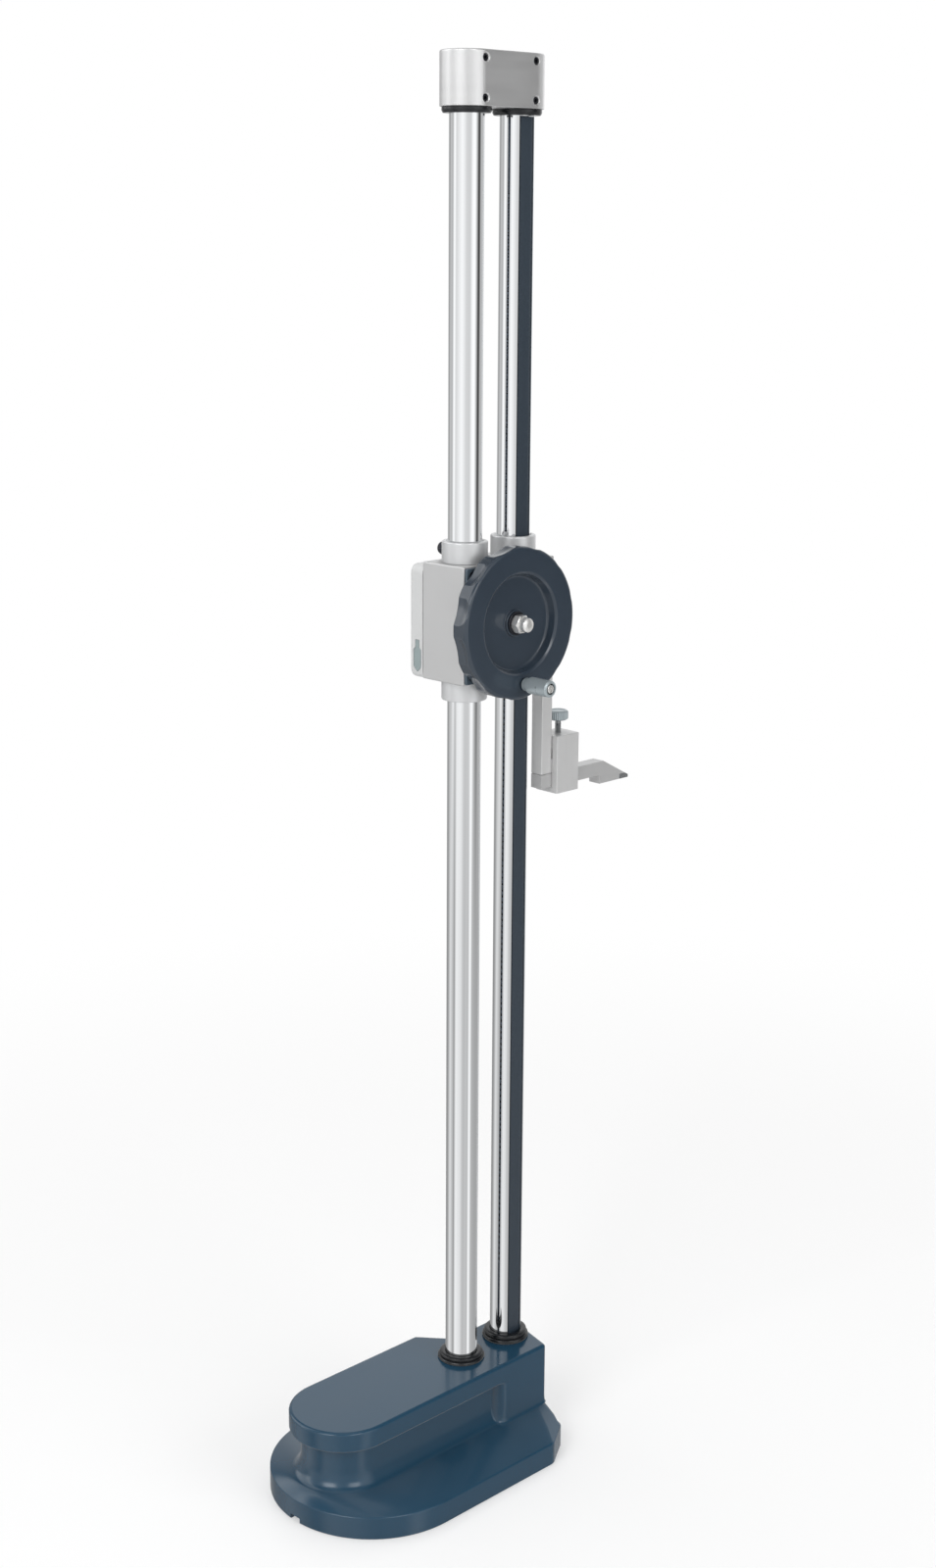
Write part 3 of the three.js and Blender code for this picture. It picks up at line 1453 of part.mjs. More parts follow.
// Display unit on the slider
slider.add(
  piece('display_housing', displayHousing(), 0xb4b6b6, 0.5, 0.1),
  ...displayScrewPlaces().map(([x, z], i) => piece(`display_screw_${i + 1}`, displayScrew(x, z),
    blackSteel, 0.4, 0.8)),
  piece('display_window', displayWindow(), 0xaab4b0, 0.1, 0),
  piece('crystal_panel', crystalPanel(), 0x9aa59a, 0.3, 0),
  piece('main_board', mainBoard(), boardGreen, 0.5, 0),
  piece('coin_cell', coinCell(), 0xc4c6c6, 0.3, 0.9),
  piece('battery_cover', batteryCover(), 0x4a5258, 0.5, 0),
  piece('port_cover', portCover(), greyPlastic, 0.5, 0),
  piece('data_port', dataPort(), 0x1c1e20, 0.5, 0),
  ...keyPlaces().map(([x, z], i) => piece(`key_${i + 1}`, key(x, z), 0x4c545a, 0.5, 0)),
);

// Handwheel on its shaft
const wheel = new THREE.Group();
wheel.position.x = shaftX;
wheel.add(
  piece('handwheel', handwheel(), darkPlastic, 0.3, 0),
  piece('pinion_shaft', pinionShaft(), 0x9a9ea1, 0.3, 1),
  piece('wheel_washer', wheelWasher(), chrome, 0.2, 1),
  piece('cap_nut', capNut(), chrome, 0.15, 1),
  piece('crank_knob', crankKnob(), greyPlastic, 0.35, 0.4),
  piece('knob_screw', knobScrew(), chrome, 0.2, 1),
);
slider.add(wheel);

const gauge = new THREE.Group();
gauge.add(frame, slider);

export default gauge;
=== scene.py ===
"""Looks of a digital height gauge: a handwheel slider on two chromed columns over a cast foot."""
from __future__ import annotations

import json
import logging
import math
from dataclasses import dataclass
from enum import Enum
from typing import Callable, Sequence

import bmesh
import bpy
from mathutils import Matrix, Vector

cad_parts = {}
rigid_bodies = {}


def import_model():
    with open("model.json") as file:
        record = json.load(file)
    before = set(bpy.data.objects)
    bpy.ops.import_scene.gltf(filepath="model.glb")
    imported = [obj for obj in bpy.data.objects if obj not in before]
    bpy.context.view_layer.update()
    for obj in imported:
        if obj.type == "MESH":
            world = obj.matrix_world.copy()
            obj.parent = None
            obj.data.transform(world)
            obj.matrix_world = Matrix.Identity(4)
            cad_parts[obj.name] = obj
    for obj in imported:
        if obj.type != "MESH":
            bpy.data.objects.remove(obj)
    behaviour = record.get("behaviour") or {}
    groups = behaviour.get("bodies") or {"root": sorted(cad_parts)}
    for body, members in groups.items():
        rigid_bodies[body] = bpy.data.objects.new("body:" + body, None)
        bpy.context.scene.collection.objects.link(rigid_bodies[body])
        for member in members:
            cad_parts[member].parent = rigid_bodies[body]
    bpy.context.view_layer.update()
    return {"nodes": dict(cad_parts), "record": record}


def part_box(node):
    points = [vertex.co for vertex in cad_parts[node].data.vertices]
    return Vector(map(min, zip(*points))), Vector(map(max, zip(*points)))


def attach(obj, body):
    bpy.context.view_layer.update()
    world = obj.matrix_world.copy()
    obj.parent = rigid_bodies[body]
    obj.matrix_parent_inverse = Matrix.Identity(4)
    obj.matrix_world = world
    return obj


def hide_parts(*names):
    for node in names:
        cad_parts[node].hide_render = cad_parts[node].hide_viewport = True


LOG = logging.getLogger("height_gauge")
MM = 0.001

# Gaps between pieces, and how far a cut reaches past what it cuts, in millimetres
SEAT = 0.1
FIT = 0.2
OVERRUN = 2.0

Point = tuple[float, float]
Corner = tuple[float, float, float]
Colour = tuple[float, float, float]
Ripple = Callable[[float, float, float], float]
Node = bpy.types.Node
Socket = bpy.types.NodeSocket


def paint(red: float, green: float, blue: float) -> Colour:
    """Turns a colour written in 0 to 255 steps into Blender's linear values.

    Args:
        red: Red step.
        green: Green step.
        blue: Blue step.

    Returns:
        The linear colour.
    """
    def linear(step: float) -> float:
        """Linear value of one step."""
        share = step / 255
        return share / 12.92 if share <= 0.04045 else ((share + 0.055) / 1.055) ** 2.4
    return (linear(red), linear(green), linear(blue))


# Shapes


class Axis(Enum):
    """Direction along which a piece is turned or drawn out."""

    X = "x"
    Y = "y"
    Z = "z"

    def point(self, a: float, b: float, along: float) -> Vector:
        """Makes a point of a turned or drawn piece.

        Args:
            a, b: Place across the axis.
            along: Place along it.

        Returns:
            The point.
        """
        if self is Axis.X:
            return Vector((along, a, b))
        if self is Axis.Y:
            return Vector((a, along, b))
        return Vector((a, b, along))


class Boolean(Enum):
    """How one solid shapes another."""

    CUT = "DIFFERENCE"
    JOIN = "UNION"
    COMMON = "INTERSECT"


def arc(centre: Point, radius: float, start: float, end: float, steps: int) -> list[Corner]:
    """Points of an arc between two angles in degrees, as corners that need no rounding."""
    turns = [math.radians(start + (end - start) * i / steps) for i in range(steps + 1)]
    return [(centre[0] + radius * math.cos(t), centre[1] + radius * math.sin(t), 0) for t in turns]


def soften(corners: Sequence[Corner], steps: int = 4, closed: bool = True) -> list[Point]:
    """Rounds the corners of an outline or profile.

    Args:
        corners: Each corner's place and its rounding radius, 0 for none.
        steps: Number of steps round a corner.
        closed: False for an open profile, whose two ends stay.

    Returns:
        The points of the rounded line.
    """
    blunt_share = 0.4
    count = len(corners)
    points: list[Point] = []
    for i, (u, v, radius) in enumerate(corners):
        if radius <= 0 or (not closed and i in (0, count - 1)):
            points.append((u, v))
            continue
        corner = Vector((u, v))
        back = (Vector(corners[i - 1][:2]) - corner).normalized()
        ahead = (Vector(corners[(i + 1) % count][:2]) - corner).normalized()
        run = radius * max(math.tan((math.pi - back.angle(ahead)) / 2), blunt_share)
        for k in range(steps + 1):
            t = k / steps
            place = corner + back * run * (1 - t) ** 2 + ahead * run * t ** 2
            points.append((place.x, place.y))
    return points


def slab(a0: float, a1: float, b0: float, b1: float, radius: float = 0) -> list[Corner]:
    """Corners of a rectangle."""
    return [(a0, b0, radius), (a1, b0, radius), (a1, b1, radius), (a0, b1, radius)]


def hexagon(width: float, a: float, b: float) -> list[Point]:
    """Hexagon by its width across flats."""
    return [(u, v) for u, v, _ in arc((a, b), width / math.sqrt(3), 0, 300, 5)]


def quarter(radius: float, *degrees: float) -> list[Point]:
    """Steps of a quarter round, as drops under the end face and insets from the side."""
    turns = [math.radians(angle) for angle in degrees]
    return [(radius * (1 - math.sin(turn)), radius * (1 - math.cos(turn))) for turn in turns]


def knurl(radius: float, ridges: int, depth: float) -> Ripple:
    """Ripple that knurls the widest part of a knob.

    Args:
        radius: What reaches further than this is knurled.
        ridges: Number of ridges.
        depth: Depth between them.

    Returns:
        The ripple.
    """
    def ripple(reach: float, turn: float, _height: float) -> float:
        """Radius between the ridges."""
        return reach - depth * (0.5 - 0.5 * math.cos(ridges * turn)) if reach > radius else reach
    return ripple


class Solid:
    """A closed mesh in millimetres in the row frame, shaped before it becomes a piece."""

    def __init__(self) -> None:
        """Starts with an empty mesh."""
        self.mesh = bmesh.new()

    def shell(self, rings: Sequence[Sequence[Vector]], looped: bool = False) -> Solid:
        """Adds a closed shell through rings of equal counts.

        Args:
            rings: Points of each ring.
            looped: Whether the last ring joins the first, instead of two end faces.

        Returns:
            The solid itself.
        """
        made = [[self.mesh.verts.new(point) for point in ring] for ring in rings]
        pairs = list(zip(made, made[1:]))
        if looped:
            pairs.append((made[-1], made[0]))
        for low, high in pairs:
            for i, vertex in enumerate(low):
                j = (i + 1) % len(low)
                self.mesh.faces.new((vertex, low[j], high[j], high[i]))
        if not looped:
            self.mesh.faces.new(list(reversed(made[0])))
            self.mesh.faces.new(made[-1])
        bmesh.ops.recalc_face_normals(self.mesh, faces=self.mesh.faces)
        return self

    def bevel(self, width: float, segments: int = 3, angle: float = 40) -> Solid:
        """Rounds every edge sharper than an angle.

        Args:
            width: Width of the rounding in millimetres.
            segments: Number of faces across it.
            angle: Smallest angle between faces, in degrees.

        Returns:
            The solid itself.
        """
        limit = math.radians(angle)
        edges = [e for e in self.mesh.edges if e.calc_face_angle(0) > limit]
        bmesh.ops.bevel(self.mesh, geom=edges, offset=width, offset_type="OFFSET", segments=segments,
                        profile=0.5, affect="EDGES", clamp_overlap=True)
        return self

    def shape(self, tools: Sequence[Solid], operation: Boolean = Boolean.CUT) -> Solid:
        """Cuts other solids out of this one, or joins them to it.

        Args:
            tools: The other solids.
            operation: How they shape it.

        Returns:
            The solid itself.
        """
        for tool in tools:
            bodies = [self.body("shape"), tool.body("tool")]
            modifier = bodies[0].modifiers.new("shape", "BOOLEAN")
            modifier.operation = operation.value
            modifier.solver = "EXACT"
            modifier.object = bodies[1]
            graph = bpy.context.evaluated_depsgraph_get()
            shaped = bpy.data.meshes.new_from_object(bodies[0].evaluated_get(graph))
            self.mesh.clear()
            self.mesh.from_mesh(shaped)
            bpy.data.meshes.remove(shaped)
            for body in bodies:
                bpy.data.meshes.remove(body.data)
        return self

    def body(self, name: str) -> bpy.types.Object:
        """Makes an object of the solid and links it to the scene.

        Args:
            name: Name of the object.

        Returns:
            The object.
        """
        mesh = bpy.data.meshes.new(name)
        self.mesh.to_mesh(mesh)
        made = bpy.data.objects.new(name, mesh)
        bpy.context.scene.collection.objects.link(made)
        return made

    def piece(self, name: str, smooth: float = 32) -> bpy.types.Object:
        """Makes the piece of the scene.

        Args:
            name: Name of the piece.
            smooth: Edges flatter than this angle, in degrees, are shaded smooth.

        Returns:
            The object, in metres.
        """
        weld = 1e-4
        bmesh.ops.remove_doubles(self.mesh, verts=self.mesh.verts, dist=weld)
        self.mesh.transform(Matrix.Scale(MM, 4))
        made = self.body(name)
        self.mesh.free()
        made.data.shade_smooth()
        made.data.set_sharp_from_angle(angle=math.radians(smooth))
        even = made.modifiers.new("even_normals", "WEIGHTED_NORMAL")
        even.keep_sharp = True
        return made


def prism(axis: Axis, outline: Sequence[Point], start: float, end: float) -> Solid:
    """Outline drawn out along an axis, from start to end."""
    return Solid().shell([[axis.point(a, b, h) for a, b in outline] for h in (start, end)])


def turned(axis: Axis, profile: Sequence[Point], a: float, b: float, segments: int = 72,
           ring: bool = False, ripple: Ripple | None = None) -> Solid:
    """Piece turned round an axis.

    Args:
        axis: Its axis.
        profile: Pairs of radius and height along the axis.
        a, b: Place of the axis.
        segments: Number of facets round it.
        ring: Whether the profile closes on itself.
        ripple: Gives the radius from the profile's radius, the angle round the axis and the height.

    Returns:
        The solid.
    """
    kept = [(radius, height) for radius, height in profile if radius > 0]
    rings = []
    for radius, height in kept:
        points = []
        for i in range(segments):
            turn = 2 * math.pi * i / segments
            reach = ripple(radius, turn, height) if ripple else radius
            points.append(axis.point(a + reach * math.cos(turn), b + reach * math.sin(turn), height))
        rings.append(points)
    return Solid().shell(rings, looped=ring)


def rod(axis: Axis, diameter: float, start: float, end: float, a: float, b: float,
        segments: int = 32) -> Solid:
    """Round bar along an axis."""
    radius = diameter / 2
    return turned(axis, [(radius, start), (radius, end)], a, b, segments)


def gather(solids: Sequence[Solid]) -> Solid:
    """Puts several solids into one mesh, side by side.

    Args:
        solids: The solids.

    Returns:
        The mesh of them all.
    """
    whole = Solid()
    for solid in solids:
        scrap = bpy.data.meshes.new("scrap")
        solid.mesh.to_mesh(scrap)
        whole.mesh.from_mesh(scrap)
        bpy.data.meshes.remove(scrap)
    return whole


def socket_screw(axis: Axis, head: float, face: float, depth: float, hexagon_width: float,
                 place: Point, side: int = 1) -> Solid:
    """Round screw head with a hexagon socket.

    Args:
        axis: Axis of the screw.
        head: Diameter of the head.
        face: Place of its face along the axis.
        depth: Length of the screw behind its face.
        hexagon_width: Width of the socket across flats.
        place: Place of the axis.
        side: 1 where the face looks along the axis, -1 where it looks back.

    Returns:
        The screw.
    """
    radius = head / 2
    centre = head / 20
    rounding = head * 0.08
    socket_depth = hexagon_width * 0.7
    profile = soften([(radius, face - side * depth, 0), (radius, face, rounding), (centre, face, 0)],
                     closed=False)
    screw = turned(axis, profile, *place, 40)
    start, end = sorted((face + side, face - side * socket_depth))
    return screw.shape([prism(axis, hexagon(hexagon_width, *place), start, end)])


# Finishes


WHITE = (1, 1, 1, 1)
COAT_ROUGHNESS = 0.06

# Shares of the relief and of the handling marks in a finish's tone and gloss
RELIEF_SHARE = 0.6
MARKS_SHARE = 0.4


class Relief(Enum):
    """Kinds of fine relief, each made by one node group."""

    LINES = "machined_lines"
    GRAIN = "moulded_grain"
    PEEL = "enamel_skin"


class Sheet:
    """Adds nodes to a tree and links them."""

    def __init__(self, tree: bpy.types.NodeTree) -> None:
        """Keeps the tree."""
        self.tree = tree

    def add(self, kind: str, values: dict[str | int, object] | None = None, **settings: object) -> Node:
        """Adds a node.

        Args:
            kind: Blender's name of the node.
            values: What its inputs are set to.
            settings: Its own properties.

        Returns:
            The node.
        """
        node = self.tree.nodes.new(kind)
        for key, value in settings.items():
            setattr(node, key, value)
        return self.feed(node, values or {})

    def feed(self, node: Node, values: dict[str | int, object]) -> Node:
        """Sets inputs of a node.

        Args:
            node: The node.
            values: Values of its inputs by name or number, or sockets to link there.

        Returns:
            The node.
        """
        for key, value in values.items():
            if isinstance(value, Socket):
                self.tree.links.new(value, node.inputs[key])
            else:
                node.inputs[key].default_value = value
        return node

    def noise(self, place: Socket, scale: float | Socket, detail: float, **more: float) -> Socket:
        """Value of a Noise Texture node at a place."""
        values = {"Vector": place, "Scale": scale, "Detail": detail, **more}
        return self.add("ShaderNodeTexNoise", values).outputs["Fac"]

    def math(self, operation: str, first: float | Socket, second: float | Socket = 0.0) -> Socket:
        """Value of a Math node with two inputs."""
        return self.add("ShaderNodeMath", {0: first, 1: second}, operation=operation).outputs[0]

    def blend(self, share: float | Socket, first: Colour | Socket, second: Colour | Socket) -> Socket:
        """Adds a Mix node between two colours.

        Args:
            share: Share of the second colour.
            first: The first colour.
            second: The second colour.

        Returns:
            The mixed colour.
        """
        colours = [value if isinstance(value, Socket) else (*value, 1) for value in (first, second)]
        values = {0: share, 6: colours[0], 7: colours[1]}
        return self.add("ShaderNodeMix", values, data_type="RGBA").outputs[2]

    def mix(self, share: Socket, first: Node, second: Node) -> Node:
        """Mix Shader node, with the second shader's share."""
        return self.add("ShaderNodeMixShader", {0: share, 1: first.outputs[0], 2: second.outputs[0]})


class Effects:
    """Shader node groups that the finishes share, each built once."""

    @staticmethod
    def group(name: str, inputs: dict[str, float],
              outputs: Sequence[str]) -> tuple[Sheet, Node, Node]:
        """Starts a node group.

        Args:
            name: Its name.
            inputs: Its float inputs and their usual values.
            outputs: Its float outputs.

        Returns:
            A sheet on its tree, its input node and its output node.
        """
        tree = bpy.data.node_groups.new(name, "ShaderNodeTree")
        for label, value in inputs.items():
            socket = tree.interface.new_socket(label, in_out="INPUT", socket_type="NodeSocketFloat")
            socket.default_value = value
        for label in outputs:
            tree.interface.new_socket(label, in_out="OUTPUT", socket_type="NodeSocketFloat")
        sheet = Sheet(tree)
        return sheet, sheet.add("NodeGroupInput"), sheet.add("NodeGroupOutput")

    @classmethod
    def relief(cls, kind: Relief, scale: float) -> tuple[Sheet, Node, Node]:
        """Starts the node group of a relief, with the inputs and outputs of them all."""
        inputs = {"Across X": 1, "Across Y": 1, "Across Z": 1, "Scale": scale}
        return cls.group(kind.value, inputs, ("Height", "Broad"))

    @classmethod
    def machined_lines(cls) -> None:
        """Fine parallel scratches: noise in object space, stretched along the way of the cut."""
        sheet, given, result = cls.relief(Relief.LINES, 2000)
        place = sheet.add("ShaderNodeTexCoord").outputs["Object"]
        across = sheet.add("ShaderNodeCombineXYZ", {"X": given.outputs["Across X"],
                                                    "Y": given.outputs["Across Y"],
                                                    "Z": given.outputs["Across Z"]})
        stretched = sheet.add("ShaderNodeVectorMath", {0: place, 1: across.outputs[0]},
                              operation="MULTIPLY").outputs[0]
        fine = sheet.noise(stretched, given.outputs["Scale"], 3.0, Roughness=0.65)
        coarse = sheet.math("MULTIPLY", given.outputs["Scale"], 0.12)
        sheet.feed(result, {"Height": fine, "Broad": sheet.noise(stretched, coarse, 2.0)})

    @classmethod
    def moulded_grain(cls) -> None:
        """Even pebbled grain of a moulding or of bead-blasted metal."""
        sheet, given, result = cls.relief(Relief.GRAIN, 2500)
        place = sheet.add("ShaderNodeTexCoord").outputs["Object"]
        fine = sheet.noise(place, given.outputs["Scale"], 2.0)
        cell = sheet.add("ShaderNodeTexVoronoi", {"Vector": place, "Scale": given.outputs["Scale"]})
        mixed = sheet.math("ADD", sheet.math("MULTIPLY", fine, 0.6),
                           sheet.math("MULTIPLY", cell.outputs["Distance"], 0.5))
        sheet.feed(result, {"Height": mixed, "Broad": sheet.noise(place, 45.0, 3.0)})

    @classmethod
    def enamel_skin(cls) -> None:
        """Slow waves of sprayed enamel over a casting, with a few fine specks."""
        sheet, given, result = cls.relief(Relief.PEEL, 260)
        place = sheet.add("ShaderNodeTexCoord").outputs["Object"]
        waves = sheet.math("MULTIPLY", sheet.noise(place, given.outputs["Scale"], 1.5), 0.35)
        height = sheet.math("ADD", waves, sheet.noise(place, 55.0, 1.0))
        sheet.feed(result, {"Height": height, "Broad": sheet.noise(place, 18.0, 4.0)})

    @classmethod
    def handling(cls) -> None:
        """Marks of use: thin smears and faint specks that change the gloss."""
        sheet, given, result = cls.group("handling", {"Scale": 30, "Contrast": 2.0}, ["Mask"])
        place = sheet.add("ShaderNodeTexCoord").outputs["Object"]
        smear = sheet.noise(place, given.outputs["Scale"], 5.0, Roughness=0.6, Distortion=0.6)
        raised = sheet.math("MULTIPLY", sheet.math("SUBTRACT", smear, 0.5), given.outputs["Contrast"])
        sheet.feed(result, {"Mask": sheet.math("ADD", raised, 0.5)})

    @classmethod
    def edge_wear(cls) -> None:
        """Mask of the edges, where the rounded normal leaves the surface's own, broken up by noise."""
        sheet, given, result = cls.group("edge_wear", {"Amount": 0.5, "Breakup": 300}, ["Mask"])
        rounded = sheet.add("ShaderNodeBevel", {"Radius": 0.0006}, samples=4)
        plain = sheet.add("ShaderNodeNewGeometry").outputs["Normal"]
        match = sheet.add("ShaderNodeVectorMath", {0: rounded.outputs["Normal"], 1: plain},
                          operation="DOT_PRODUCT")
        edge = sheet.add("ShaderNodeMapRange", {"Value": match.outputs["Value"], "From Min": 0.985,
                                                "From Max": 0.86})
        place = sheet.add("ShaderNodeTexCoord").outputs["Object"]
        breakup = sheet.noise(place, given.outputs["Breakup"], 3.0)
        broken = sheet.add("ShaderNodeMapRange", {"Value": breakup, "From Min": 0.38, "From Max": 0.62})
        worn = sheet.math("MULTIPLY", edge.outputs["Result"], broken.outputs["Result"])
        sheet.feed(result, {"Mask": sheet.math("MULTIPLY", worn, given.outputs["Amount"])})

    @classmethod
    def build(cls) -> None:
        """Builds every group."""
        for make in (cls.machined_lines, cls.moulded_grain, cls.enamel_skin, cls.handling, cls.edge_wear):
            make()


@dataclass(frozen=True)
class Finish:
    """An opaque surface: its colour, gloss, fine relief and wear.

    Attributes:
        name: Name of the finish.
        colour: Linear base colour.
        roughness: Middle roughness.
        metallic: 1 for metal, 0 for paint and plastic.
        relief: Kind of fine relief.
        scale: Scale of the relief.
        across: How much the relief varies along X, Y and Z, for lines.
        depth: Height of the relief in millimetres.
        tone: How far the colour varies.
        spread: How far the roughness varies.
        worn: Colour of worn edges.
        wear: Strength of the wear.
        coat: Weight of a clear coat.
        smear: Scale of the handling marks.
    """

    name: str
    colour: Colour
    roughness: float
    metallic: float = 0.0
    relief: Relief = Relief.GRAIN
    scale: float = 2500
    across: tuple[float, float, float] = (1, 1, 1)
    depth: float = 0.01
    tone: float = 0.05
    spread: float = 0.05
    worn: Colour = (0.5, 0.5, 0.5)
    wear: float = 0.2
    coat: float = 0.0
    smear: float = 30

    def effect(self, sheet: Sheet, name: str, values: dict[str, object]) -> Node:
        """Places a shared node group in the material."""
        return sheet.add("ShaderNodeGroup", values, node_tree=bpy.data.node_groups[name])

    def make(self) -> bpy.types.Material:
        """Builds the material.

        Returns:
            The material.
        """
        material = bpy.data.materials.new(self.name)
        material.use_nodes = True
        sheet = Sheet(material.node_tree)
        across = dict(zip(("Across X", "Across Y", "Across Z"), self.across))
        relief = self.effect(sheet, self.relief.value, {**across, "Scale": self.scale})
        marks = self.effect(sheet, "handling", {"Scale": self.smear, "Contrast": 1.6})
        wear = self.effect(sheet, "edge_wear", {"Amount": self.wear, "Breakup": 350.0})
        mixed = sheet.math("ADD", sheet.math("MULTIPLY", relief.outputs["Broad"], RELIEF_SHARE),
                           sheet.math("MULTIPLY", marks.outputs["Mask"], MARKS_SHARE))
        dark: Colour = tuple(c * (1 - self.tone) for c in self.colour)
        light: Colour = tuple(min(1.0, c * (1 + self.tone)) for c in self.colour)
        plain = sheet.blend(mixed, dark, light)
        colour = sheet.blend(wear.outputs["Mask"], plain, self.worn)
        rough = sheet.add("ShaderNodeMapRange", {"Value": mixed, "From Min": 0.25, "From Max": 0.75,
                                                 "To Min": max(0.0, self.roughness - self.spread),
                                                 "To Max": self.roughness + self.spread})
        bump = sheet.add("ShaderNodeBump", {"Height": relief.outputs["Height"], "Strength": 0.6,
                                            "Distance": self.depth * MM})
        sheet.feed(material.node_tree.nodes["Principled BSDF"], {
            "Base Color": colour, "Roughness": rough.outputs["Result"], "Normal": bump.outputs["Normal"],
            "Metallic": self.metallic, "Coat Weight": self.coat, "Coat Roughness": COAT_ROUGHNESS})
        return material


@dataclass(frozen=True)
class ClearFinish:
    """A clear moulding or glass.

    Attributes:
        name: Name of the finish.
        tint: Linear tint.
        index: Refractive index.
    """

    name: str
    tint: Colour
    index: float = 1.49

    def make(self) -> bpy.types.Material:
        """Builds the material.

        Returns:
            The material.
        """
        material = bpy.data.materials.new(self.name)
        material.use_nodes = True
        sheet = Sheet(material.node_tree)
        marks = sheet.add("ShaderNodeGroup", {"Scale": 60.0, "Contrast": 1.2},
                          node_tree=bpy.data.node_groups["handling"])
        rough = sheet.add("ShaderNodeMapRange", {"Value": marks.outputs["Mask"], "To Min": 0.01,
                                                 "To Max": 0.07})
        deep: Colour = tuple(c * 0.97 for c in self.tint)
        sheet.feed(material.node_tree.nodes["Principled BSDF"], {
            "Base Color": sheet.blend(marks.outputs["Mask"], self.tint, deep),
            "Roughness": rough.outputs["Result"], "Transmission Weight": 1.0, "IOR": self.index})
        return material


AROUND = (0.03, 0.03, 1.0)
ALONG_BAR = (1, 1, 0.02)

FINISHES: tuple[Finish | ClearFinish, ...] = (
    Finish("enamel", paint(30, 64, 86), 0.2, relief=Relief.PEEL, scale=240, depth=0.03, tone=0.07,
           worn=paint(66, 98, 120), coat=0.2, smear=22),
    Finish("chrome", paint(250, 251, 252), 0.04, metallic=1, relief=Relief.LINES, scale=900,
           across=ALONG_BAR, depth=0.0006, tone=0.02, spread=0.02, worn=paint(252, 252, 252), wear=0.1,
           smear=14),
    Finish("satin_body", paint(209, 209, 209), 0.42, metallic=0.7, scale=5200, depth=0.006, tone=0.03,
           spread=0.04, worn=paint(232, 232, 232), wear=0.4, smear=26),
    Finish("satin_head", paint(230, 230, 230), 0.33, metallic=0.82, relief=Relief.LINES, scale=2600,
           across=(0.06, 0.06, 1.0), depth=0.0012, tone=0.03, worn=paint(242, 242, 242), wear=0.35,
           smear=26),
    Finish("turned_bush", paint(216, 217, 218), 0.36, metallic=0.5, relief=Relief.LINES, scale=2400,
           across=AROUND, depth=0.0025, tone=0.03, spread=0.06, worn=paint(240, 240, 240), wear=0.3,
           smear=40),
    Finish("ground_steel", paint(205, 205, 205), 0.34, metallic=0.35, relief=Relief.LINES, scale=3000,
           across=(1.0, 1.0, 0.05), depth=0.0016, tone=0.04, spread=0.06, worn=paint(232, 232, 232),
           wear=0.4, smear=36),
    Finish("scriber_steel", paint(190, 190, 190), 0.32, metallic=0.4, relief=Relief.LINES, scale=3000,
           across=(0.06, 1.0, 1.0), depth=0.0016, tone=0.04, spread=0.06, worn=paint(226, 226, 226),
           wear=0.4, smear=36),
    Finish("hard_metal", paint(140, 142, 144), 0.28, metallic=0.6, relief=Relief.LINES, scale=3000,
           across=(1, 0.05, 1), depth=0.001),
    Finish("wheel_enamel", paint(46, 56, 67), 0.2, relief=Relief.PEEL, scale=420, depth=0.012, tone=0.08,
           worn=paint(80, 92, 104), wear=0.12, coat=0.45),
    Finish("cover_enamel", paint(74, 87, 98), 0.34, scale=3000, depth=0.006, tone=0.07,
           worn=paint(106, 114, 122), wear=0.3),
    Finish("scale_print", paint(46, 56, 66), 0.34, relief=Relief.LINES, scale=900, across=(1, 1, 0.01),
           depth=0.002, tone=0.06, worn=paint(84, 92, 102), wear=0.15, smear=12),
    Finish("soft_rubber", paint(26, 28, 31), 0.2, scale=1800, tone=0.12, worn=paint(62, 64, 67), smear=50),
    Finish("black_oxide", paint(46, 48, 54), 0.34, metallic=0.7, scale=3500, depth=0.004, tone=0.1,
           worn=paint(130, 132, 136), wear=0.5, smear=60),
    Finish("bright_nickel", paint(250, 249, 247), 0.17, metallic=0.72, scale=1400, depth=0.006, tone=0.04,
           worn=paint(246, 246, 244), wear=0.3, smear=90),
    Finish("knob_steel", paint(170, 180, 184), 0.3, metallic=0.5, relief=Relief.LINES, scale=2000,
           across=(0.04, 1.0, 0.04), depth=0.002, tone=0.04, worn=paint(214, 218, 220), wear=0.4, smear=60),
    Finish("display_moulding", paint(206, 207, 207), 0.44, scale=2600, depth=0.012, tone=0.03,
           worn=paint(218, 219, 219), smear=20),
    Finish("key_grey", paint(72, 80, 86), 0.48, scale=2800, tone=0.06, worn=paint(104, 110, 116), smear=60),
    Finish("port_moulding", paint(146, 159, 160), 0.52, scale=2400, worn=paint(160, 168, 172), smear=50),
    Finish("crystal_layer", paint(148, 158, 146), 0.25, scale=5000, depth=0.001, tone=0.03, wear=0.0,
           smear=12),
    Finish("digit_dark", paint(38, 42, 44), 0.35, scale=5000, depth=0.001, wear=0.0),
    Finish("milled_rack", paint(72, 84, 98), 0.3, metallic=0.8, relief=Relief.LINES, scale=2600,
           across=(1, 1, 0.1), depth=0.0015, worn=paint(215, 215, 215), wear=0.4),
    Finish("circuit_green", paint(40, 104, 70), 0.4, scale=1200, depth=0.004, wear=0.0),
    Finish("plain_bronze", paint(176, 138, 84), 0.32, metallic=1, relief=Relief.LINES, scale=2400,
           across=(0.05, 1.0, 0.05), depth=0.002, tone=0.06),
    Finish("holder_moulding", paint(30, 31, 33), 0.5, scale=2600),
    ClearFinish("clear_window", (0.93, 0.96, 0.95)),
)

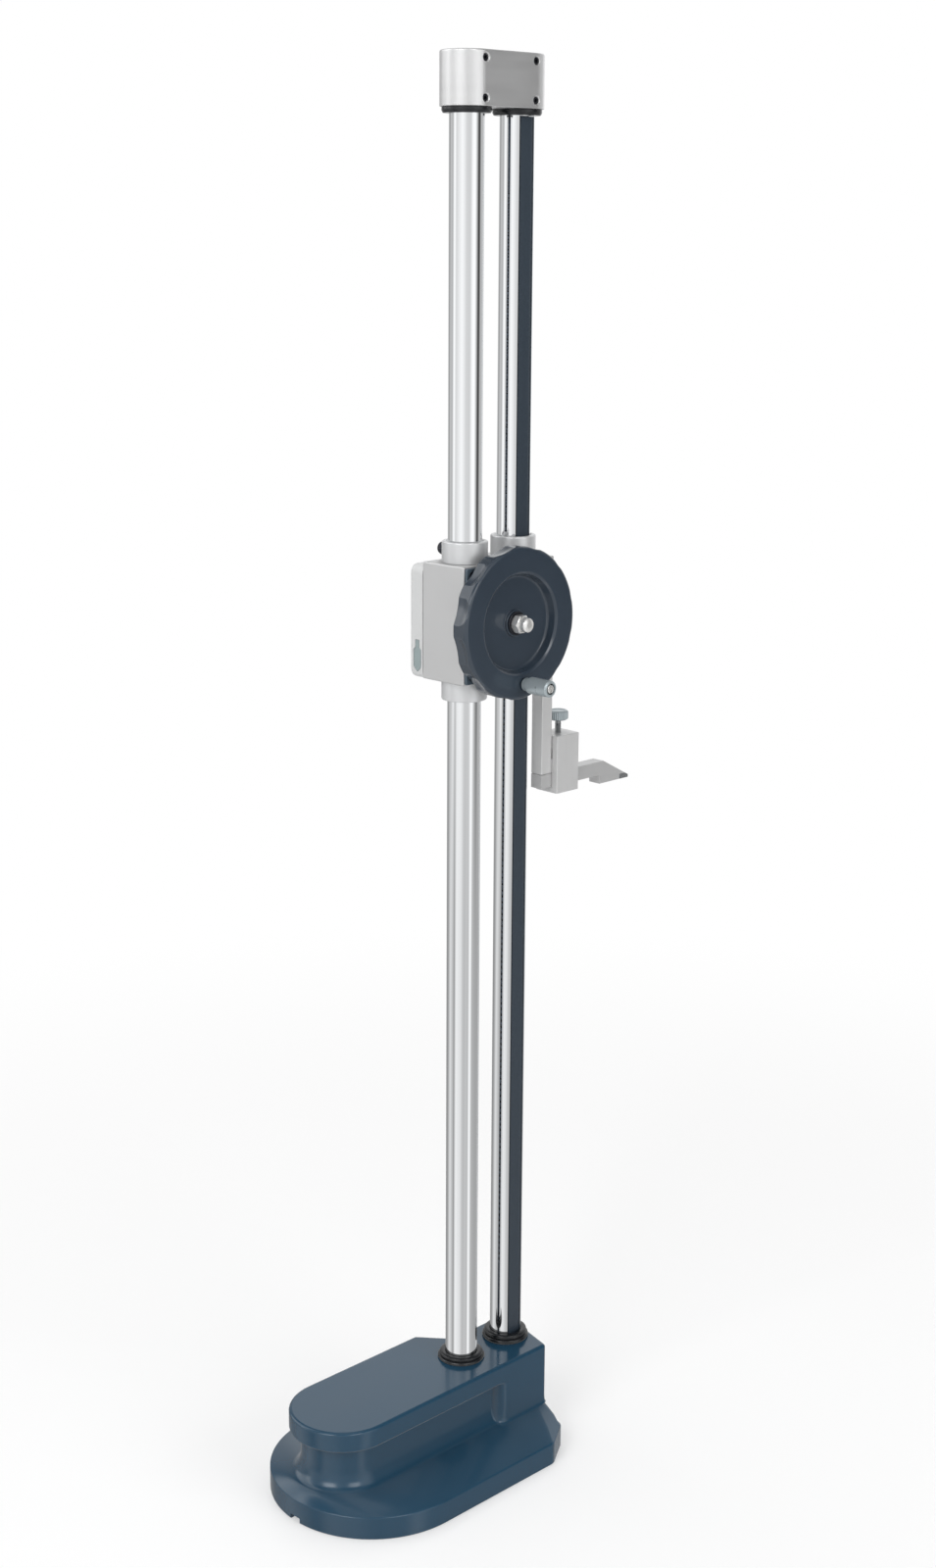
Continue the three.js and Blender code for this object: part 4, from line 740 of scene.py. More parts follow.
SLOT_FINISHES: dict[str, str] = {
    "paint": "enamel", "black_steel": "black_oxide", "column_chrome": "chrome", "rack_steel": "milled_rack",
    "scale_dark": "scale_print", "black_rubber": "soft_rubber", "head_silver": "satin_head",
    "body_silver": "satin_body", "bush_silver": "turned_bush", "cover_black": "cover_enamel",
    "wheel_black": "wheel_enamel", "board": "circuit_green", "holder_black": "holder_moulding",
    "bronze": "plain_bronze", "arm_steel": "ground_steel", "carbide": "hard_metal",
    "display_grey": "display_moulding", "window": "clear_window", "crystal": "crystal_layer",
    "cell": "bright_nickel", "cover_grey": "key_grey", "port_grey": "port_moulding",
    "shaft_steel": "milled_rack", "bright": "bright_nickel", "knob_grey": "knob_steel",
}


# Sub-assemblies


@dataclass(frozen=True)
class Layout:
    """Places that every sub-assembly shares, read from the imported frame, in millimetres.

    Attributes:
        front_x, rear_x: Axes of the columns.
        base_top: Top of the foot.
        head_bottom, head_top: Underside and top of the head.
        slider_z: Middle height of the slider.
        shaft_x: Axis of the handwheel.
        wheel_front, wheel_back: Faces of the handwheel.
    """

    front_x: float
    rear_x: float
    base_top: float
    head_bottom: float
    head_top: float
    slider_z: float
    shaft_x: float
    wheel_front: float
    wheel_back: float

    @classmethod
    def read(cls) -> Layout:
        """Reads the places from the frame.

        Returns:
            The places.
        """
        def span(node: str, axis: int) -> tuple[float, float]:
            """Lower and upper end of a node along an axis."""
            low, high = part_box(node)
            return low[axis] / MM, high[axis] / MM

        def middle(node: str, axis: int) -> float:
            """Middle of a node along an axis."""
            return sum(span(node, axis)) / 2
        head, wheel = span("head_cap", 2), span("handwheel", 1)
        return cls(middle("column_front", 0), middle("column_rear", 0), span("base_casting", 2)[1], head[0],
                   head[1], middle("slider_body", 2), middle("handwheel", 0), wheel[0], wheel[1])


@dataclass
class Assembly:
    """A sub-assembly that places its pieces on the frame.

    Attributes:
        layout: Shared places.
        materials: Material of each finish.
    """

    layout: Layout
    materials: dict[str, bpy.types.Material]

    def put(self, solid: Solid, name: str, finish: str, body: str, nodes: Sequence[str] = (),
            smooth: float = 32) -> bpy.types.Object:
        """Makes a piece, dresses it and lets it ride.

        Args:
            solid: Its shape.
            name: Its name.
            finish: Name of its finish.
            body: Body it rides on.
            nodes: CAD nodes it stands for.
            smooth: Angle below which its edges are shaded smooth.

        Returns:
            The piece.
        """
        made = solid.piece(name, smooth)
        made.data.materials.append(self.materials[finish])
        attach(made, body)
        if nodes:
            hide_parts(*nodes)
        LOG.info("%s rides on %s", name, body)
        return made


@dataclass(frozen=True)
class FootLine:
    """Places of one of the matching outlines that the foot's loft runs through.

    Attributes:
        turn: Where the far side meets the rear block.
        bend: Where the far side meets the round end.
        block_end: Where the near side meets the rear corner.
        corner: Distance of the rear corners from the centre line.
        rounding: Rounding of the corners.
        half: Half width.
        reach: Reach of the round end.
        inset: How far it is drawn in by the finger grooves.
        shift: How far the near side's relief moves towards the round end.
        stepped: Whether the far side steps in behind the display.
    """

    turn: float
    bend: float
    block_end: float
    corner: float = 33.5
    rounding: float = 3.4
    half: float = 33.5
    reach: float = 148.5
    inset: float = 0.0
    shift: float = 0.0
    stepped: bool = True


@dataclass
class Foot(Assembly):
    """Cast foot with finger grooves, and the rubber rings round the columns."""

    # Outlines from the top plate down to the flange, and their centre line
    plate: FootLine = FootLine(turn=-8.5, bend=-24.0, block_end=16.0)
    neck: FootLine = FootLine(turn=-17.7, bend=-27.2, block_end=16.0, inset=7.0)
    stand: FootLine = FootLine(turn=20.0, bend=-24.0, block_end=20.0, corner=32.5, rounding=6.0,
                               stepped=False)
    flange: FootLine = FootLine(turn=4.5, bend=-32.0, block_end=4.5, corner=52.0, rounding=6.0, half=65.0,
                                reach=155.0, shift=10.0, stepped=False)
    middle: float = 5.5
    # Reach of the V-shaped rear end, and how far it falls back at the plate's sides
    tail: float = 37.5
    tail_drop: float = 8.0
    # Far side of the narrow part behind the display
    step: float = 20.7
    # Round relief beside the rear block, and where the groove's wall turns into it
    relief_x: float = -4.5
    relief_radius: float = 9.0
    relief_start: float = -13.3
    relief_rounding: float = 1.8
    # Flange, and heights of the slope over it with the steps that bend it
    sole_chamfer: float = 0.5
    slope_start: float = 15.0
    slope_end: float = 21.0
    slope_shares: tuple[float, ...] = (0.36, 0.7, 0.93)
    flange_round: float = 1.3
    flange_blend: float = 20.0
    # Round between slope and neck, and the angles at which its foot swells
    throat: float = 13.0
    toe_shares: tuple[Point, ...] = ((10, 1.0), (18, 0.62), (28, 0.32), (40, 0.12), (54, 0.02), (66, 0),
                                     (78, 0), (90, 0))
    # Distances under the plate, each with the share of the groove's depth left there
    fillet_shares: tuple[Point, ...] = ((3.4, 1), (2.0, 0.96), (1.0, 0.88), (0.3, 0.74), (0, 0.55))
    # Heights over the plate's underside, each with the lip's inset
    lip_insets: tuple[Point, ...] = ((0, 1.5), (0.25, 0.75), (0.8, 0.2), (1.6, 0))
    # Plate's underside, rounding of its upper edge, and the flat ring inside that
    plate_bottom: float = 49.0
    plate_edge: float = 1.9
    plate_brim: float = 0.25
    # Notch under the front
    notch_half: float = 4.25
    notch_height: float = 3.5
    notch_rounding: float = 0.5
    # Radii of a rubber ring from the foot up, swell of its beads, and the rings' heights
    ring_bore: float = 10.2
    bead: float = 15.0
    ring_waist: float = 12.9
    upper_bead: float = 13.7
    ring_lip: float = 12.0
    bulge: float = 0.5
    front_ring: float = 4.4
    rear_ring: float = 5.6

    def rear(self, y: float) -> float:
        """Place along the foot where its V-shaped rear end lies, at a place across it."""
        return self.tail - self.tail_drop / self.plate.half * abs(y - self.middle)

    def outline(self, line: FootLine) -> list[Point]:
        """One of the matching outlines: plate, neck, stand or flange.

        Args:
            line: Its places.

        Returns:
            Its points, of the same count for each outline.
        """
        low, top = self.middle - line.half, self.middle + line.half
        near_corner = self.middle - line.corner
        far_corner = self.step if line.stepped else self.middle + line.corner
        turn_side = self.step if line.stepped else top
        corners = [(self.rear(near_corner), near_corner), (self.tail, self.middle),
                   (self.rear(far_corner), far_corner), (line.turn, turn_side), (line.bend, top - line.inset)]
        points = [(*corner, line.rounding) for corner in corners]
        points += arc((line.half - line.reach, self.middle), line.half - line.inset, 90, 270, 48)
        near = self.middle - self.plate.half
        groove = near + self.neck.inset
        relief = arc((self.relief_x, near + self.relief_radius), self.relief_radius, 208, 270, 10)
        wall = [(self.neck.bend, groove, 0), (self.relief_start, groove, self.relief_rounding)]
        block = soften([*wall, *relief], closed=False)[1:]
        points += [(x - line.shift, y if line.inset else low, 0) for x, y in block]
        points.append((line.block_end, low, line.rounding))
        return soften(points, 6)

    @staticmethod
    def level(z: float, line: Sequence[Vector], target: Sequence[Vector], share: float,
              inset: float = 0, inset_shares: Sequence[float] | None = None) -> list[Vector]:
        """Points on the way from one outline to another.

        Args:
            z: Their height.
            line: Outline they start from.
            target: Outline they move towards.
            share: How far they move.
            inset: How far they then move inwards.
            inset_shares: Share of the inset at each point, all of it if not given.

        Returns:
            The points.
        """
        points = []
        for i, start in enumerate(line):
            along = line[(i + 1) % len(line)] - line[i - 1]
            outwards = Vector((along.y, -along.x)).normalized()
            inwards = inset * (inset_shares[i] if inset_shares else 1)
            place = start + (target[i] - start) * share - outwards * inwards
            points.append(Vector((*place, z)))
        return points

    def casting(self) -> Solid:
        """Foot as one loft from the flange's edge over the grooves to the plate's top.

        Returns:
            The casting.
        """
        plate, neck, stand, flange = ([Vector(point) for point in self.outline(line)]
                                      for line in (self.plate, self.neck, self.stand, self.flange))
        grooved = [min(1.0, (b - a).length / self.neck.inset) for a, b in zip(plate, neck)]
        flanged = [min(1.0, (b - a).length / self.flange_blend) for a, b in zip(stand, flange)]
        toe = [-(1 - groove) * wide for groove, wide in zip(grooved, flanged)]
        top, under = self.layout.base_top, self.plate_bottom
        rings = [self.level(0, flange, stand, 0, self.sole_chamfer),
                 self.level(self.sole_chamfer, flange, stand, 0)]
        for drop, inset in quarter(self.flange_round, 0, 25, 50, 75, 90):
            rings.append(self.level(self.slope_start - drop, flange, stand, 0, inset, flanged))
        for share in self.slope_shares:
            z = self.slope_start + (self.slope_end - self.slope_start) * share
            rings.append(self.level(z, flange, stand, share))
        for angle, swell in self.toe_shares:
            turn = math.radians(angle)
            z = self.slope_end + self.throat * (1 - math.cos(turn))
            rings.append(self.level(z, plate, neck, math.sin(turn), swell, toe))
        for drop, share in self.fillet_shares:
            rings.append(self.level(under - drop, plate, neck, share))
        for height, inset in self.lip_insets:
            rings.append(self.level(under + height, plate, neck, 0, inset, grooved))
        for drop, inset in quarter(self.plate_edge, 0, 22, 45, 67, 90):
            rings.append(self.level(top - drop, plate, neck, 0, inset))
        rings.append(self.level(top, plate, neck, 0, self.plate_edge + self.plate_brim))
        section = slab(self.middle - self.notch_half, self.middle + self.notch_half, -OVERRUN,
                       self.notch_height, self.notch_rounding)
        notch = prism(Axis.X, soften(section), -self.flange.reach - OVERRUN, self.tail + OVERRUN)
        return Solid().shell(rings).shape([notch])

    def ring(self, x: float, height: float) -> Solid:
        """Rubber ring of two beads round a column.

        Args:
            x: Axis of the column.
            height: Height of the ring.

        Returns:
            The ring.
        """
        foot = self.layout.base_top
        seat, waist, top = foot + SEAT, foot + height / 2, foot + height
        lower_edge = self.bead - self.bulge
        profile = [(self.ring_bore, seat, 0), (lower_edge, seat, 0.5), (self.bead, foot + 1, 0.8),
                   (lower_edge, waist - 0.2, 0.7), (self.ring_waist, waist, 0.35),
                   (self.upper_bead, waist + self.bulge, 0.5), (self.upper_bead - 0.2, top - 0.3, 0.7),
                   (self.ring_lip, top, 0.5), (self.ring_bore, top, 0.3)]
        return turned(Axis.Z, soften(profile), x, 0, 80, ring=True)

    def build(self) -> None:
        """Builds the foot."""
        casting = self.put(self.casting(), "foot_casting", "enamel", "frame", ["base_casting"], smooth=50)
        casting.visible_glossy = False
        for side, x, height in (("front", self.layout.front_x, self.front_ring),
                                ("rear", self.layout.rear_x, self.rear_ring)):
            self.put(self.ring(x, height), f"foot_ring_{side}", "soft_rubber", "frame", [f"base_ring_{side}"])


@dataclass
class Columns(Assembly):
    """Chromed columns, one grooved for the rack and one flattened for the scale."""

    # Bar, height of its lower end, and how far it reaches into the head
    radius: float = 10.0
    start: float = 22.1
    head_depth: float = 21.9
    chamfer: float = 0.8
    # Rack's groove, how far it runs into foot and head, and which faces are its walls
    groove_half: float = 3.2
    groove_run: float = 5.0
    groove_skin: float = 0.15
    end_slope: float = 0.5
    # Flat behind the scale strip, and rounding of the strip
    strip_relief: float = 1.3
    strip_edge: float = 0.18

    def bar(self, x: float) -> Solid:
        """Plain column with chamfered ends.

        Args:
            x: Its axis.

        Returns:
            The column.
        """
        end, inner = self.layout.head_bottom + self.head_depth, self.radius - self.chamfer
        profile = [(inner, self.start), (self.radius, self.start + self.chamfer),
                   (self.radius, end - self.chamfer), (inner, end)]
        return turned(Axis.Z, profile, x, 0, 120)

    def mill(self, column: bpy.types.Object) -> None:
        """Leaves the walls of the rack's groove bare, as a cutter leaves chromed bar.

        Args:
            column: The front column.
        """
        column.data.materials.append(self.materials["milled_rack"])
        for face in column.data.polygons:
            reach = math.hypot(face.center.x / MM - self.layout.front_x, face.center.y / MM)
            if reach < self.radius - self.groove_skin and abs(face.normal.z) < self.end_slope:
                face.material_index = 1

    def front(self) -> Solid:
        """Front column with the rack's groove.

        Returns:
            The column.
        """
        x = self.layout.front_x
        rack_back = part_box("rack_strip")[0].x / MM
        section = slab(rack_back - FIT, x + self.radius + OVERRUN, -self.groove_half, self.groove_half)
        groove = prism(Axis.Z, soften(section), self.layout.base_top - self.groove_run,
                       self.layout.head_bottom + self.groove_run)
        return self.bar(x).shape([groove])

    def build(self) -> None:
        """Builds the columns and the scale."""
        self.mill(self.put(self.front(), "chrome_column_front", "chrome", "frame", ["column_front"]))
        low, high = (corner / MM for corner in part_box("scale_strip"))
        section = slab(low.x - self.strip_relief, high.x + SEAT, -self.radius - OVERRUN, high.y + SEAT)
        flat = prism(Axis.Z, soften(section), low.z - FIT, high.z + FIT)
        rear = self.bar(self.layout.rear_x).shape([flat])
        self.put(rear, "chrome_column_rear", "chrome", "frame", ["column_rear"])
        strip = prism(Axis.Z, soften(slab(low.x, high.x, low.y, high.y)), low.z, high.z)
        self.put(strip.bevel(self.strip_edge, 2), "scale_film", "scale_print", "frame", ["scale_strip"])


@dataclass
class Head(Assembly):
    """Head that ties the columns, with its set screws and stop rings."""

    # Round ends, and rounding of the upper and lower edges
    radius: float = 15.3
    edge: float = 1.1
    sole_edge: float = 0.5
    # Height between the set screws, and sizes of holes, countersinks and screws
    screw_spacing: float = 21.2
    bore: float = 2.15
    sink: float = 2.9
    sink_depth: float = 0.65
    bore_depth: float = 6.0
    screw: float = 3.8
    screw_sunk: float = 0.9
    screw_length: float = 4.5
    socket: float = 2.0
    # Stop rings
    ring_bore: float = 10.2
    ring_radius: float = 14.2
    ring_low: float = 13.4
    ring_height: float = 3.3

    def cap(self) -> Solid:
        """Head block with rounded edges and countersunk screw holes.

        Returns:
            The block.
        """
        bottom, top = self.layout.head_bottom, self.layout.head_top
        small = 0.3 * self.sole_edge
        levels = [(bottom, self.sole_edge), (bottom + small, small), (bottom + self.sole_edge, 0)]
        levels += [(top - drop, inset) for drop, inset in quarter(self.edge, 0, 25, 50, 70, 90)]
        rings = []
        for z, inset in levels:
            line = arc((self.layout.rear_x, 0), self.radius - inset, -90, 90, 40)
            line += arc((self.layout.front_x, 0), self.radius - inset, 90, 270, 40)
            rings.append([Vector((x, y, z)) for x, y, _ in line])
        face = -self.radius
        hole = [(self.sink, face - SEAT), (self.bore, face + self.sink_depth),
                (self.bore, face + self.bore_depth)]
        return Solid().shell(rings).shape([turned(Axis.Y, hole, x, z, 40) for x, z in self.places()])

    def places(self) -> list[Point]:
        """Places of the set screws.

        Returns:
            The places.
        """
        middle = (self.layout.head_bottom + self.layout.head_top) / 2
        heights = (middle - self.screw_spacing / 2, middle + self.screw_spacing / 2)
        return [(x, z) for x in (self.layout.front_x, self.layout.rear_x) for z in heights]

    def stop(self, x: float) -> Solid:
        """Black stop ring under the head.

        Args:
            x: Axis of its column.

        Returns:
            The ring.
        """
        top = self.layout.head_bottom - SEAT
        low = top - self.ring_height
        profile = soften([(self.ring_bore, low, 0.2), (self.ring_low, low, 0.7),
                          (self.ring_radius, low + 1.5, 0.9), (self.ring_radius - 0.1, top, 0.2),
                          (self.ring_bore, top, 0)])
        return turned(Axis.Z, profile, x, 0, 80, ring=True)

    def build(self) -> None:
        """Builds the head."""
        self.put(self.cap(), "head_block", "satin_head", "frame", ["head_cap"])
        for i, place in enumerate(self.places()):
            screw = socket_screw(Axis.Y, self.screw, self.screw_sunk - self.radius, self.screw_length,
                                 self.socket, place, -1)
            self.put(screw, f"head_grub_{i + 1}", "black_oxide", "frame", [f"head_set_screw_{i + 1}"])
        for side, x in (("front", self.layout.front_x), ("rear", self.layout.rear_x)):
            self.put(self.stop(x), f"head_stop_{side}", "soft_rubber", "frame", [f"stop_ring_{side}"])


@dataclass
class SliderBlock(Assembly):
    """Slider body with its bushes, cover plate and lock screw."""

    # Half sizes of the body, and rounding of its edges
    half_x: float = 36.6
    half_y: float = 18.2
    half_z: float = 34.75
    edge: float = 0.8
    # Cover's seat, and the bare lip beside it
    seat: float = -16.2
    lip: float = 4.4
    # Diameters of the bores, and how far they are cut
    column_bore: float = 24.4
    bore_reach: float = 40.0
    shaft_bore: float = 24.0
    shaft_bore_end: float = 5.0
    # Radii of a guide bush, its inner end, and the collars' heights
    bush_bore: float = 10.3
    bush_radius: float = 12.0
    bush_start: float = 19.3
    collar: float = 13.5
    top_collar: float = 12.6
    bottom_collar: float = 11.8
    # Cover plate, its roundings, and the diameter of its hole
    cover_left: float = -35.8
    cover_half: float = 33.95
    cover_rounding: float = 1.2
    cover_edge: float = 0.35
    cover_hole: float = 12.4
    # Places and radii of the cover's screws, and half sizes and depth of their cross
    screw_columns: Point = (-31.4, 27.6)
    screw_row: float = 29.6
    screw_radius: float = 2.35
    screw_core: float = 1.2
    screw_cone: float = 1.3
    sink_clearance: float = 0.2
    cross_length: float = 1.3
    cross_width: float = 0.28
    cross_depth: float = 0.6
    # Lock screw: height over the body, radii, ends of stem and knob, and the ridges
    lock_height: float = 6.3
    lock_stem: float = 2.0
    lock_radius: float = 4.0
    lock_start: float = 11.4
    lock_shoulder: float = 14.5
    lock_end: float = 20.0
    lock_ridges: int = 26
    lock_knurl: float = 0.22

    def block(self) -> Solid:
        """Body with its cover seat and column bores.

        Returns:
            The body.
        """
        z = self.layout.slider_z
        low, high = z - self.half_z, z + self.half_z
        right = self.half_x - self.lip
        outline = [(-self.half_x, self.seat), (right, self.seat), (right, -self.half_y),
                   (self.half_x, -self.half_y), (self.half_x, self.half_y), (-self.half_x, self.half_y)]
        bores = [rod(Axis.Z, self.column_bore, z - self.bore_reach, z + self.bore_reach, x, 0, 64)
                 for x in (self.layout.front_x, self.layout.rear_x)]
        shaft = rod(Axis.Y, self.shaft_bore, self.seat - OVERRUN, self.shaft_bore_end,
                    self.layout.shaft_x, z, 48)
        return prism(Axis.Z, outline, low, high).bevel(self.edge).shape([*bores, shaft])

    def bush(self, x: float, side: int, height: float) -> Solid:
        """Flanged bush whose collar stands on the body.

        Args:
            x: Axis of its column.
            side: 1 at the top of the body, -1 at its bottom.
            height: Height of the collar.

        Returns:
            The bush.
        """
        z = self.layout.slider_z
        low, high = self.half_z + SEAT, self.half_z + height
        bevel = 0.9
        profile = soften([(self.bush_bore, self.bush_start, 0), (self.bush_radius, self.bush_start, 0),
                          (self.bush_radius, low, 0), (self.collar, low, 0.25), (self.collar, high, bevel),
                          (self.bush_bore + bevel, high, 0.15), (self.bush_bore, high - bevel, 0)])
        return turned(Axis.Z, [(r, z + side * h) for r, h in profile], x, 0, 96, ring=True)

    def cover(self) -> Solid:
        """Cover plate with its shaft hole and countersinks.

        Returns:
            The plate.
        """
        z, face = self.layout.slider_z, -self.half_y
        cone = face + self.screw_cone
        section = slab(self.cover_left, self.half_x - self.lip - FIT, z - self.cover_half,
                       z + self.cover_half, self.cover_rounding)
        plate = prism(Axis.Y, soften(section), face, self.seat - SEAT).bevel(self.cover_edge)
        core, wide = self.screw_core + self.sink_clearance, self.screw_radius + self.sink_clearance
        sink = [(wide + 0.15, face - 0.1), (wide + 0.05, face + 0.1), (core, cone), (core, cone + 0.9)]
        hole = rod(Axis.Y, self.cover_hole, face - OVERRUN, self.seat + OVERRUN, self.layout.shaft_x, z, 48)
        return plate.shape([hole, *(turned(Axis.Y, sink, *place, 32) for place in self.screws())])

    def screws(self) -> list[Point]:
        """Places of the cover's screws."""
        z = self.layout.slider_z
        return [(x, z + v) for x in self.screw_columns for v in (-self.screw_row, self.screw_row)]

    def countersunk(self, x: float, v: float) -> Solid:
        """Countersunk screw with a cross recess.

        Args:
            x: Its place along the slider.
            v: Its height.

        Returns:
            The screw.
        """
        face, core = -self.half_y, self.screw_core
        profile = [(0.1, face + 0.08), (self.screw_radius - 0.15, face + 0.1),
                   (self.screw_radius, face + 0.25), (core, face + self.screw_cone),
                   (core, face + self.screw_cone + 0.5)]
        long, wide = self.cross_length, self.cross_width
        floor = face + self.cross_depth
        bars = [prism(Axis.Y, soften(slab(x - a, x + a, v - b, v + b)), face - OVERRUN, floor)
                for a, b in ((long, wide), (wide, long))]
        return turned(Axis.Y, profile, x, v, 32).shape(bars)

    def lock(self) -> Solid:
        """Lock screw with a knurled knob.

        Returns:
            The screw.
        """
        z = self.layout.slider_z + self.half_z + self.lock_height
        stem, radius, shoulder, end = self.lock_stem, self.lock_radius, self.lock_shoulder, self.lock_end
        profile = soften([(stem, self.lock_start, 0), (stem, shoulder, 0), (radius - 0.5, shoulder, 0.3),
                          (radius, shoulder + 0.6, 0), (radius, end - 1.6, 0), (radius - 0.6, end - 0.3, 0.5),
                          (radius - 1.4, end, 0.2), (0.4, end - 0.2, 0)], 3, closed=False)
        ripple = knurl(radius - 0.1, self.lock_ridges, self.lock_knurl)
        return turned(Axis.Y, profile, self.layout.front_x, z, 6 * self.lock_ridges, ripple=ripple)

    def build(self) -> None:
        """Builds the slider block."""
        self.put(self.block(), "slider_block", "satin_body", "slider", ["slider_body"])
        for name, x in (("front", self.layout.front_x), ("rear", self.layout.rear_x)):
            for end, side, height in (("top", 1, self.top_collar), ("bottom", -1, self.bottom_collar)):
                self.put(self.bush(x, side, height), f"collar_{name}_{end}", "turned_bush", "slider",
                         [f"guide_bush_{name}_{end}"])
        self.put(self.cover(), "cover_face", "cover_enamel", "slider", ["cover_plate"])
        self.put(gather([self.countersunk(*place) for place in self.screws()]), "cover_screws",
                 "black_oxide", "slider")
        self.put(self.lock(), "lock_grip", "black_oxide", "lock_knob", ["lock_knob"])


@dataclass
class Handwheel(Assembly):
    """Handwheel with its cap nut, washer and crank knob."""

    # Wheel, its flat rim faces, its dish and its hubs
    radius: float = 45.0
    brim: float = 6.0
    dish: float = 29.3
    dish_depth: float = 5.6
    bore: float = 4.3
    boss: float = 8.1
    boss_height: float = 1.5
    rear_hub: float = 13.0
    rear_hub_height: float = 1.5
    # Rings of the rim, close enough for the finger grips to fade along it
    rim_start: float = 2.6
    rim_step: float = 0.55
    rim_steps: int = 11
    # Number and sizes of the grips, how they fade to the front, and how they start
    grips: int = 12
    grip_depth: float = 1.5
    grip_half: float = 8.2
    grip_reach: float = 6.2
    grip_fade: float = 0.95
    grip_start: float = 5.0
    grip_blend: float = 4.0
    # Cap nut and its dome
    flats: float = 10.0
    nut_length: float = 5.0
    nut_corner: float = 5.9
    nut_edge: float = 0.15
    dome: float = 4.3
    dome_height: float = 4.8
    # Washer
    washer_bore: float = 3.2
    washer_radius: float = 7.0
    washer_height: float = 1.0
    # Distance of the crank knob from the shaft, and its direction at rest in degrees
    orbit: float = 36.2
    orbit_angle: float = -84.4
    # Gap between knob and wheel, and the knob's sizes
    knob_gap: float = 0.9
    knob_length: float = 20.3
    knob_bore: float = 2.7
    knob_neck: float = 4.0
    knob_neck_length: float = 3.5
    knob_radius: float = 5.0
    knob_recess: float = 3.35
    knob_recess_depth: float = 8.0
    # Knob's screw and its slot
    screw_radius: float = 2.5
    screw_depth: float = 8.0
    slot_half: float = 0.45
    slot_depth: float = 1.6

    @property
    def shaft(self) -> Point:
        """Axis of the wheel."""
        return (self.layout.shaft_x, self.layout.slider_z)

    @property
    def knob_place(self) -> Point:
        """Axis of the crank knob."""
        angle = math.radians(self.orbit_angle)
        return (self.layout.shaft_x + self.orbit * math.cos(angle),
                self.layout.slider_z + self.orbit * math.sin(angle))

    @property
    def knob_front(self) -> float:
        """Front end of the crank knob."""
        return self.layout.wheel_front - self.knob_gap - self.knob_length

    @property
    def hub(self) -> float:
        """Front face of the hub boss."""
        return self.layout.wheel_front + self.dish_depth - self.boss_height

    def grip(self, radius: float, turn: float, height: float) -> float:
        """Radius of the wheel with its finger grips.

        Args:
            radius: Radius without them.
            turn: Angle round the shaft.
            height: Place along the shaft.

        Returns:
            The radius.
        """
        pitch = 2 * math.pi / self.grips
        outer = min(1.0, max(0.0, (radius - self.radius + self.grip_start) / self.grip_blend))
        across = self.radius * (turn % pitch - pitch / 2) / self.grip_half
        ahead = max(0.0, self.layout.wheel_front + self.grip_reach - height) / self.grip_reach
        return radius - outer * self.grip_depth * max(0.0, 1 - across ** 2 - self.grip_fade * ahead ** 2)

    def wheel(self) -> Solid:
        """Disc with finger grips, a dish and a hub boss.

        Returns:
            The wheel.
        """
        front, back = self.layout.wheel_front, self.layout.wheel_back
        floor, hub_end = front + self.dish_depth, back + self.rear_hub_height
        inner = self.radius - self.brim
        boss = [(self.bore, self.hub, 0), (self.boss - 0.2, self.hub, 0.5), (self.boss, floor, 0.6)]
        dish = [(self.dish - 1.5, floor, 1.8), (self.dish, front + 0.9, 0.4), (self.dish + 1.3, front, 1.0)]
        rim = [(self.radius, front + self.rim_start + self.rim_step * i, 0) for i in range(self.rim_steps)]
        rear = [(self.radius, back, 1.4), (inner, back, 0), (self.rear_hub + 1, back, 0.6),
                (self.rear_hub, hub_end, 0.6), (self.bore, hub_end, 0)]
        corners = [*boss, *dish, (inner, front, 0), (self.radius, front, 2.2), *rim, *rear]
        disc = turned(Axis.Y, soften(corners, 6), *self.shaft, 432, ring=True, ripple=self.grip)
        return disc.shape([rod(Axis.Y, 2 * self.knob_bore, front - 1, back + 1, *self.knob_place)])

    def nut(self) -> Solid:
        """Domed cap nut with chamfered corners and a neck under its dome.

        Returns:
            The nut.
        """
        seat = self.hub - self.washer_height - SEAT
        front = seat - self.nut_length
        end = front - self.dome_height
        body = prism(Axis.Y, hexagon(self.flats, *self.shaft), front, seat)
        cone = [(self.nut_corner - 1, seat), (self.nut_corner, seat - 0.7), (self.nut_corner, front + 0.9),
                (self.nut_corner - 1.2, front)]
        crown = soften([(self.dome - 0.3, seat - 1, 0), (self.dome - 0.45, front - 0.5, 0.1),
                        (self.dome, front - 0.9, 0.2), (self.dome, end + 0.5, 1.3), (2.0, end, 0.8),
                        (0.1, end, 0)], 6, closed=False)
        chamfered = body.shape([turned(Axis.Y, cone, *self.shaft)], Boolean.COMMON)
        return chamfered.bevel(self.nut_edge, 2, 20).shape([turned(Axis.Y, crown, *self.shaft)], Boolean.JOIN)

    def sleeve(self) -> Solid:
        """Sleeve of the crank knob.

        Returns:
            The sleeve.
        """
        front, back = self.knob_front, self.layout.wheel_front - self.knob_gap
        neck_end, recess_end = back - self.knob_neck_length, front + self.knob_recess_depth
        profile = soften([(self.knob_bore, back, 0), (self.knob_neck - 0.1, back, 0.3),
                          (self.knob_neck, neck_end, 0.3), (self.knob_radius, neck_end - 0.9, 0.5),
                          (self.knob_radius, front + 0.6, 0.6), (self.knob_neck, front, 0.4),
                          (self.knob_recess, front, 0.1), (self.knob_recess, recess_end, 0),
                          (self.knob_bore, recess_end, 0)])
        return turned(Axis.Y, profile, *self.knob_place, 80, ring=True)

